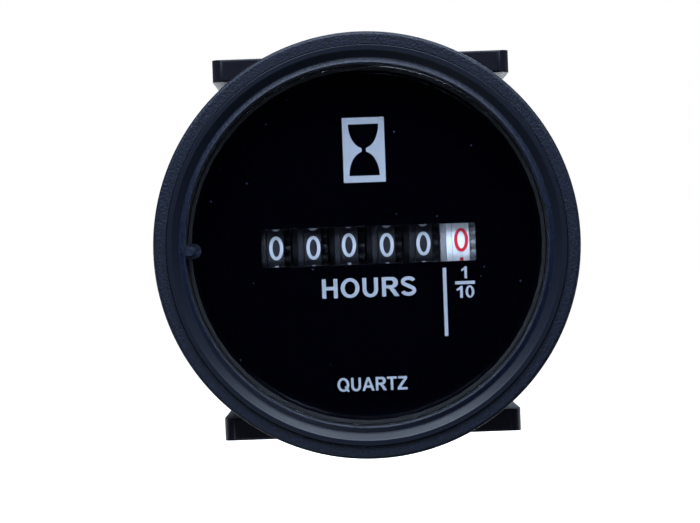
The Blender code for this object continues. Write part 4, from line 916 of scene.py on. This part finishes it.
# Motor and bridge: stamped brass plates, a bonded ferrite magnet, a stator and core of silicon
# iron, and a coil of enamelled copper wire on a nylon bobbin, all held by two plated screws.
def wound_wire(name, colour, painted_groove_shade):
    """Enamelled copper wire in close turns: a painted highlight on each turn's ridge, and painted shade in
    amber between the turns.
    """
    made, inside, look, place = plastic(name, colour, 0.25)
    look["Metallic"].default_value = 1.0
    turns = shade(inside, "TexWave", {"Vector": place, "Scale": per_mm(0.6), "Distortion": 0.4},
                  bands_direction="Y")
    # Painted highlight and shade: the colour runs from the painted shade between the turns to the bright
    # copper on each ridge.
    shade(inside, "Mix", {
        "Factor": turns.outputs["Fac"], "A": linear(painted_groove_shade), "B": linear(colour),
    }, data_type="RGBA", to=look["Base Color"])
    shade(inside, "Bump", {"Height": turns.outputs["Fac"], "Distance": 0.05 * MM, "Strength": 0.8},
          to=look["Normal"])
    return made


paint(metal("stamped_brass", "#D6B25E", 0.3, (1.0, 0.2, 1.0), "#BF9850"), "bridge_plate", "motor_plate")
# The ferrite's second colour is the paler one, of its painted glints and painted pit shade.
paint(eroded_abs("bonded_ferrite", "#232327", "#2E2E33", GRAIN, 0.02, 0.6), "rotor_magnet")
paint(metal("silicon_iron", "#8A8C90", 0.4, (1.0, 0.3, 0.3), "#74777D"), "stator", "coil_core")
paint(moulded_acetal("natural_nylon", "#EDEAE0", "#E2DECF", 0.5), "coil_bobbin")
# The wire's second colour is the painted shade between its turns.
paint(wound_wire("enamelled_copper_wire", "#D98A50", "#7A3416"), "coil_winding", "coil_lead_start",
      "coil_lead_end")
paint(metal("plated_screw_steel", "#B5B7BC", 0.28, (1.0, 1.0, 0.3)), "motor_screw_front", "motor_screw_rear")


# Circuit board: glass-epoxy under a green solder mask, with the parts of the timer on it: an
# epoxy chip, a quartz crystal in a tinned can, a sleeved capacitor, resistors and diodes.
def solder_mask(name, colour, trace):
    """Green lacquer over copper: the tracks show as slightly lighter, raised lines."""
    made, inside, look, place = plastic(name, colour, 0.28)
    tracks = shade(inside, "TexBrick", {
        "Vector": place, "Scale": per_mm(3.0), "Mortar Size": 0.06, "Color1": linear(colour),
        "Color2": linear(colour), "Mortar": linear(trace),
    })
    inside.links.new(tracks.outputs["Color"], look["Base Color"])
    shade(inside, "Bump", {"Height": tracks.outputs["Fac"], "Distance": 0.035 * MM, "Strength": 1.0},
          to=look["Normal"])
    return made


def banded(name, colour, band, spacing):
    """Lacquer with printed bands round it."""
    made, inside, look, place = plastic(name, colour, 0.3)
    bands = shade(inside, "TexWave", {"Vector": place, "Scale": per_mm(spacing)}, bands_direction="X")
    narrow = shade(inside, "Math", {0: bands.outputs["Fac"], 1: 0.82}, operation="GREATER_THAN")
    shade(inside, "Mix", {
        "Factor": narrow, "A": linear(colour), "B": linear(band),
    }, data_type="RGBA", to=look["Base Color"])
    return made


# Its second colour is the paler one, of the painted glints and of the rises between the painted shade of the
# pits.
MOULDED_EPOXY = eroded_abs("moulded_black_epoxy", "#141416", "#1D1D20", GRAIN, 0.015, 0.5)
paint(solder_mask("green_solder_mask", "#0E4A2C", "#1C6B42"), "circuit_board")
paint(MOULDED_EPOXY, "timer_chip", "diode_1", "diode_2", "diode_3", "diode_4")
paint(metal("tinned_can", "#C9CBCE", 0.25, (0.3, 1.0, 1.0), "#B4B7BC"), "crystal_can")
paint(satin_abs("shrink_sleeve", "#1B2A4A", 0.3), "capacitor")
paint(banded("lacquered_resistor", "#B9925F", "#5A2E1B", 6.0), "resistor_upper", "resistor_lower")


# Rear cover: a plate of the housing's ABS snapped and welded into the barrel, with a raised pad
# round each blade and stud, and a polarity mark moulded beside each blade.
COVER_PAD = 0.25 * MM
STUD_X = 14.0 * MM
BLADE_X = 5.0 * MM
BLADE_SLOT = (1.4 * MM, 6.9 * MM)
BLADE_PAD = (3.6 * MM, 9.2 * MM)
STUD_PAD = 4.2 * MM
STUD_HOLE = 2.3 * MM
COVER_PLATE = 2.0 * MM
SKIRT_WALL = 1.2 * MM
SKIRT_GAP = 0.3 * MM
SIGN = (2.4 * MM, 0.5 * MM)
SIGN_X = 9.3 * MM
SIGN_Z = 8.0 * MM
SIGN_DROP = 0.05 * MM  # below the pads


def flatted(radius, flat, steps=30):
    """A circle cut off at a flat along its top and bottom."""
    edge = math.degrees(math.asin(flat / radius))
    sides = [arc((0, 0), (radius, radius), middle - edge, middle + edge, steps) for middle in (0, 180)]
    return sides[0] + sides[1]


low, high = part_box("rear_cover")
plate_back = high.y - COVER_PAD
slots = [rectangle(*BLADE_SLOT, 0.3 * MM, (x, 0)) for x in (-BLADE_X, BLADE_X)]
holes = [circle(STUD_HOLE, (x, 0), 40) for x in (-STUD_X, STUD_X)]
cover = slab("cover_plate", [flatted(high.x, high.z), *slots, *holes], high.y - COVER_PLATE, plate_back,
             HOUSING_ABS, bevel=0.2 * MM)
skirt_outside = flatted(CAVITY_RADIUS - SKIRT_GAP, CAVITY_FLAT - SKIRT_GAP)
skirt_inside = flatted(CAVITY_RADIUS - SKIRT_GAP - SKIRT_WALL, CAVITY_FLAT - SKIRT_GAP - SKIRT_WALL)
cut(cover, slab("skirt", [skirt_outside, skirt_inside], low.y, plate_back - MM, HOUSING_ABS), "UNION")
for x, slot in zip((-BLADE_X, BLADE_X), slots):
    stud_x, sign_x = math.copysign(STUD_X, x), math.copysign(SIGN_X, x)
    raised = [
        ([rectangle(*BLADE_PAD, 0.8 * MM, (x, 0)), slot], high.y),
        ([circle(STUD_PAD, (stud_x, 0), 48), circle(STUD_HOLE, (stud_x, 0), 40)], high.y),
        ([rectangle(*SIGN, 0.1 * MM, (sign_x, SIGN_Z))], high.y - SIGN_DROP),
    ]
    if x > 0:
        raised.append(([rectangle(*SIGN[::-1], 0.1 * MM, (sign_x, SIGN_Z))], high.y - SIGN_DROP))
    for outlines, top in raised:
        cut(cover, slab("raised", outlines, plate_back - SINK, top, HOUSING_ABS), "UNION")
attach(cover, "meter_body")
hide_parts("rear_cover")


# Terminals: two 6.3 mm blades stamped from tinned brass, with a tapered end, bevelled sides and a
# hole for the push-on connector's latch.
BLADE_TAPER = 0.9 * MM
BLADE_BEVEL = 0.14 * MM
LATCH_RADIUS = 0.9 * MM
LATCH_INSET = 3.2 * MM

TINNED_BRASS = metal("tinned_brass", "#CFCDC6", 0.24, (1.0, 0.2, 1.0), "#B9B5A8")
for name in ("terminal_left", "terminal_right"):
    low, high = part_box(name)
    back, top = high.y, high.z
    outline = [
        (low.y, -top), (back - BLADE_TAPER, -top), (back, -top + BLADE_TAPER), (back, top - BLADE_TAPER),
        (back - BLADE_TAPER, top), (low.y, top),
    ]
    latch = circle(LATCH_RADIUS, (back - LATCH_INSET, 0), 32)
    blade = slab(name + "_blade", [outline, latch], low.x, high.x, TINNED_BRASS,
                 bevel=BLADE_BEVEL, facing="side")
    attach(blade, "meter_body")
    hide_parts(name)


# Studs, washers and nuts: M4 studs of zinc-plated steel with rolled threads, stamped washers with
# one edge rounded over, and hexagonal brass nuts with their corners turned off.
THREAD_RADIUS = 2.0 * MM
THREAD_PITCH = 0.7 * MM
THREAD_DEPTH = 0.38 * MM
THREAD_STEPS = 36
STEPS_PER_PITCH = 8
GROOVE_SLOPE = 2.3  # over 2, so that the crest between two grooves is flat
HEAD_RADIUS = 3.1 * MM
HEAD_THICKNESS = 1.1 * MM
STUD_TIP = 0.4 * MM
NUT_SIDES = 6
NUT_CORNER_TURN = 30  # degrees that the corners are turned off at
NUT_FACE = 0.97  # radius of the flat end, as a share of half the width across flats
NUT_BORE = 2.3 * MM
LEAD_IN = 0.3 * MM


def threaded(low, high, centre_x):
    """A stud's mesh: a round head at its front, then a threaded shank with a tapered tip."""
    shape = bmesh.new()
    rows = []
    start = low.y + HEAD_THICKNESS
    count = math.ceil((high.y - start) / THREAD_PITCH * STEPS_PER_PITCH)
    places = [(low.y, 0.0), (low.y, HEAD_RADIUS), (start, HEAD_RADIUS)]
    places += [(start + (high.y - start) * step / count, None) for step in range(count + 1)] + [(high.y, 0.0)]
    for along, radius in places:
        row = []
        for step in range(THREAD_STEPS):
            turn = 2 * math.pi * step / THREAD_STEPS
            phase = ((along - start) / THREAD_PITCH - step / THREAD_STEPS) % 1
            groove = THREAD_DEPTH * max(0.0, 1 - abs(phase - 0.5) * GROOVE_SLOPE)
            runout = min(1.0, (along - start) / THREAD_PITCH)
            tip = max(0.0, STUD_TIP - (high.y - along))
            reach = THREAD_RADIUS - max(groove * runout, tip) if radius is None else radius
            row.append(shape.verts.new((centre_x + reach * math.cos(turn), along, reach * math.sin(turn))))
        rows.append(row)
    for one, two in zip(rows, rows[1:]):
        for step in range(THREAD_STEPS):
            shape.faces.new((one[step - 1], one[step], two[step], two[step - 1]))
    bmesh.ops.remove_doubles(shape, verts=shape.verts, dist=1e-7)
    bmesh.ops.recalc_face_normals(shape, faces=shape.faces)
    return shape


NUT_BRASS = metal("machined_brass", "#D2AE62", 0.26, (1.0, 1.0, 0.3), "#BD9650")
for side, x in (("left", -STUD_X), ("right", STUD_X)):
    low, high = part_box("stud_" + side)
    stud = piece("threaded_stud_" + side, threaded(low, high, x), ZINC_STEEL, sharp=40, weighted=False)
    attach(stud, "meter_body")
    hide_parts("stud_" + side)

    low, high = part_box("washer_" + side)
    outer = (high.x - low.x) / 2
    outline = rounded([
        (outer, low.y, 0.08 * MM), (outer, high.y, 0.3 * MM),
        (NUT_BORE, high.y, 0.12 * MM), (NUT_BORE, low.y, 0.05 * MM),
    ])
    washer = piece("flat_washer_" + side, turned(outline, turns_round(64), centre=(x, 0)), ZINC_STEEL)
    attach(washer, "meter_body")
    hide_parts("washer_" + side)

    low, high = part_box("nut_" + side)
    flats = (high.x - low.x) / 2
    corner = flats / math.cos(math.pi / NUT_SIDES)
    face_radius = flats * NUT_FACE
    slope = (corner - face_radius) * math.tan(math.radians(NUT_CORNER_TURN))
    barrel = [
        (corner, low.y + slope), (corner, high.y - slope), (face_radius, high.y),
        (NUT_BORE + LEAD_IN, high.y), (NUT_BORE, high.y - LEAD_IN),
        (NUT_BORE, low.y + LEAD_IN), (NUT_BORE + LEAD_IN, low.y), (face_radius, low.y),
    ]
    nut = piece("hex_nut_" + side, turned(barrel, turns_round(72), centre=(x, 0)), NUT_BRASS)
    half_side = 180 / NUT_SIDES
    hexagon = arc((x, 0), (corner, corner), half_side, 360 + half_side, NUT_SIDES)[:-1]
    cut(nut, slab("hexagon", [hexagon], low.y - OVERRUN, high.y + OVERRUN, NUT_BRASS), "INTERSECT", sharp=15)
    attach(nut, "meter_body")
    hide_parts("nut_" + side)


# Bracket: a U moulded in smooth black ABS. Its legs press on the panel from behind, the nuts draw
# up its web, and the blades stand out through the opening in the web.
BRACKET_WALL = 3.15 * MM
BRACKET_CORNER = 1.7 * MM
BRACKET_BEND = 2.0 * MM
INNER_BEND = 0.8 * MM
TOE_RELIEF = (26.0 * MM, 2.4 * MM)
WEB_OPENING = (19.0 * MM, 20.0 * MM)
OPENING_CORNER = 2.0 * MM
PUNCH_DEPTH = 5.0 * MM

SMOOTH_ABS = satin_abs("smooth_black_abs", "#17171F", 0.36)
low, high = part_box("bracket")
leg, toe, back = high.z - BRACKET_WALL, low.y, high.y
edge_round = 0.3 * MM
profile = rounded([
    (toe, leg, edge_round), (toe, high.z, edge_round),
    (back, high.z, BRACKET_BEND), (back, -high.z, BRACKET_BEND),
    (toe, -high.z, edge_round), (toe, -leg, edge_round),
    (back - BRACKET_WALL, -leg, INNER_BEND), (back - BRACKET_WALL, leg, INNER_BEND),
], steps=8)
bracket = slab("mounting_bracket", [profile], low.x, high.x, SMOOTH_ABS, bevel=0.12 * MM, facing="side")
width, length = high.x - low.x + HAIR / 4, back - toe + 2 * BRACKET_CORNER
corners = rectangle(width, length + HAIR / 4, BRACKET_CORNER, (0, toe + length / 2), steps=10)
cut(bracket, slab("corners", [corners], low.z - OVERRUN, high.z + OVERRUN, SMOOTH_ABS, facing="up"),
    "INTERSECT", sharp=25)
cut(bracket, slab("relief", [circle(TOE_RELIEF[0])], toe - OVERRUN, toe + TOE_RELIEF[1], SMOOTH_ABS))
through = (back - PUNCH_DEPTH, back + OVERRUN)
cut(bracket, slab("opening", [rectangle(*WEB_OPENING, OPENING_CORNER, steps=8)], *through, SMOOTH_ABS))
for x in (-STUD_X, STUD_X):
    cut(bracket, slab("drill", [circle(STUD_HOLE, (x, 0), 40)], *through, SMOOTH_ABS))
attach(bracket, "meter_body")
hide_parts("bracket")
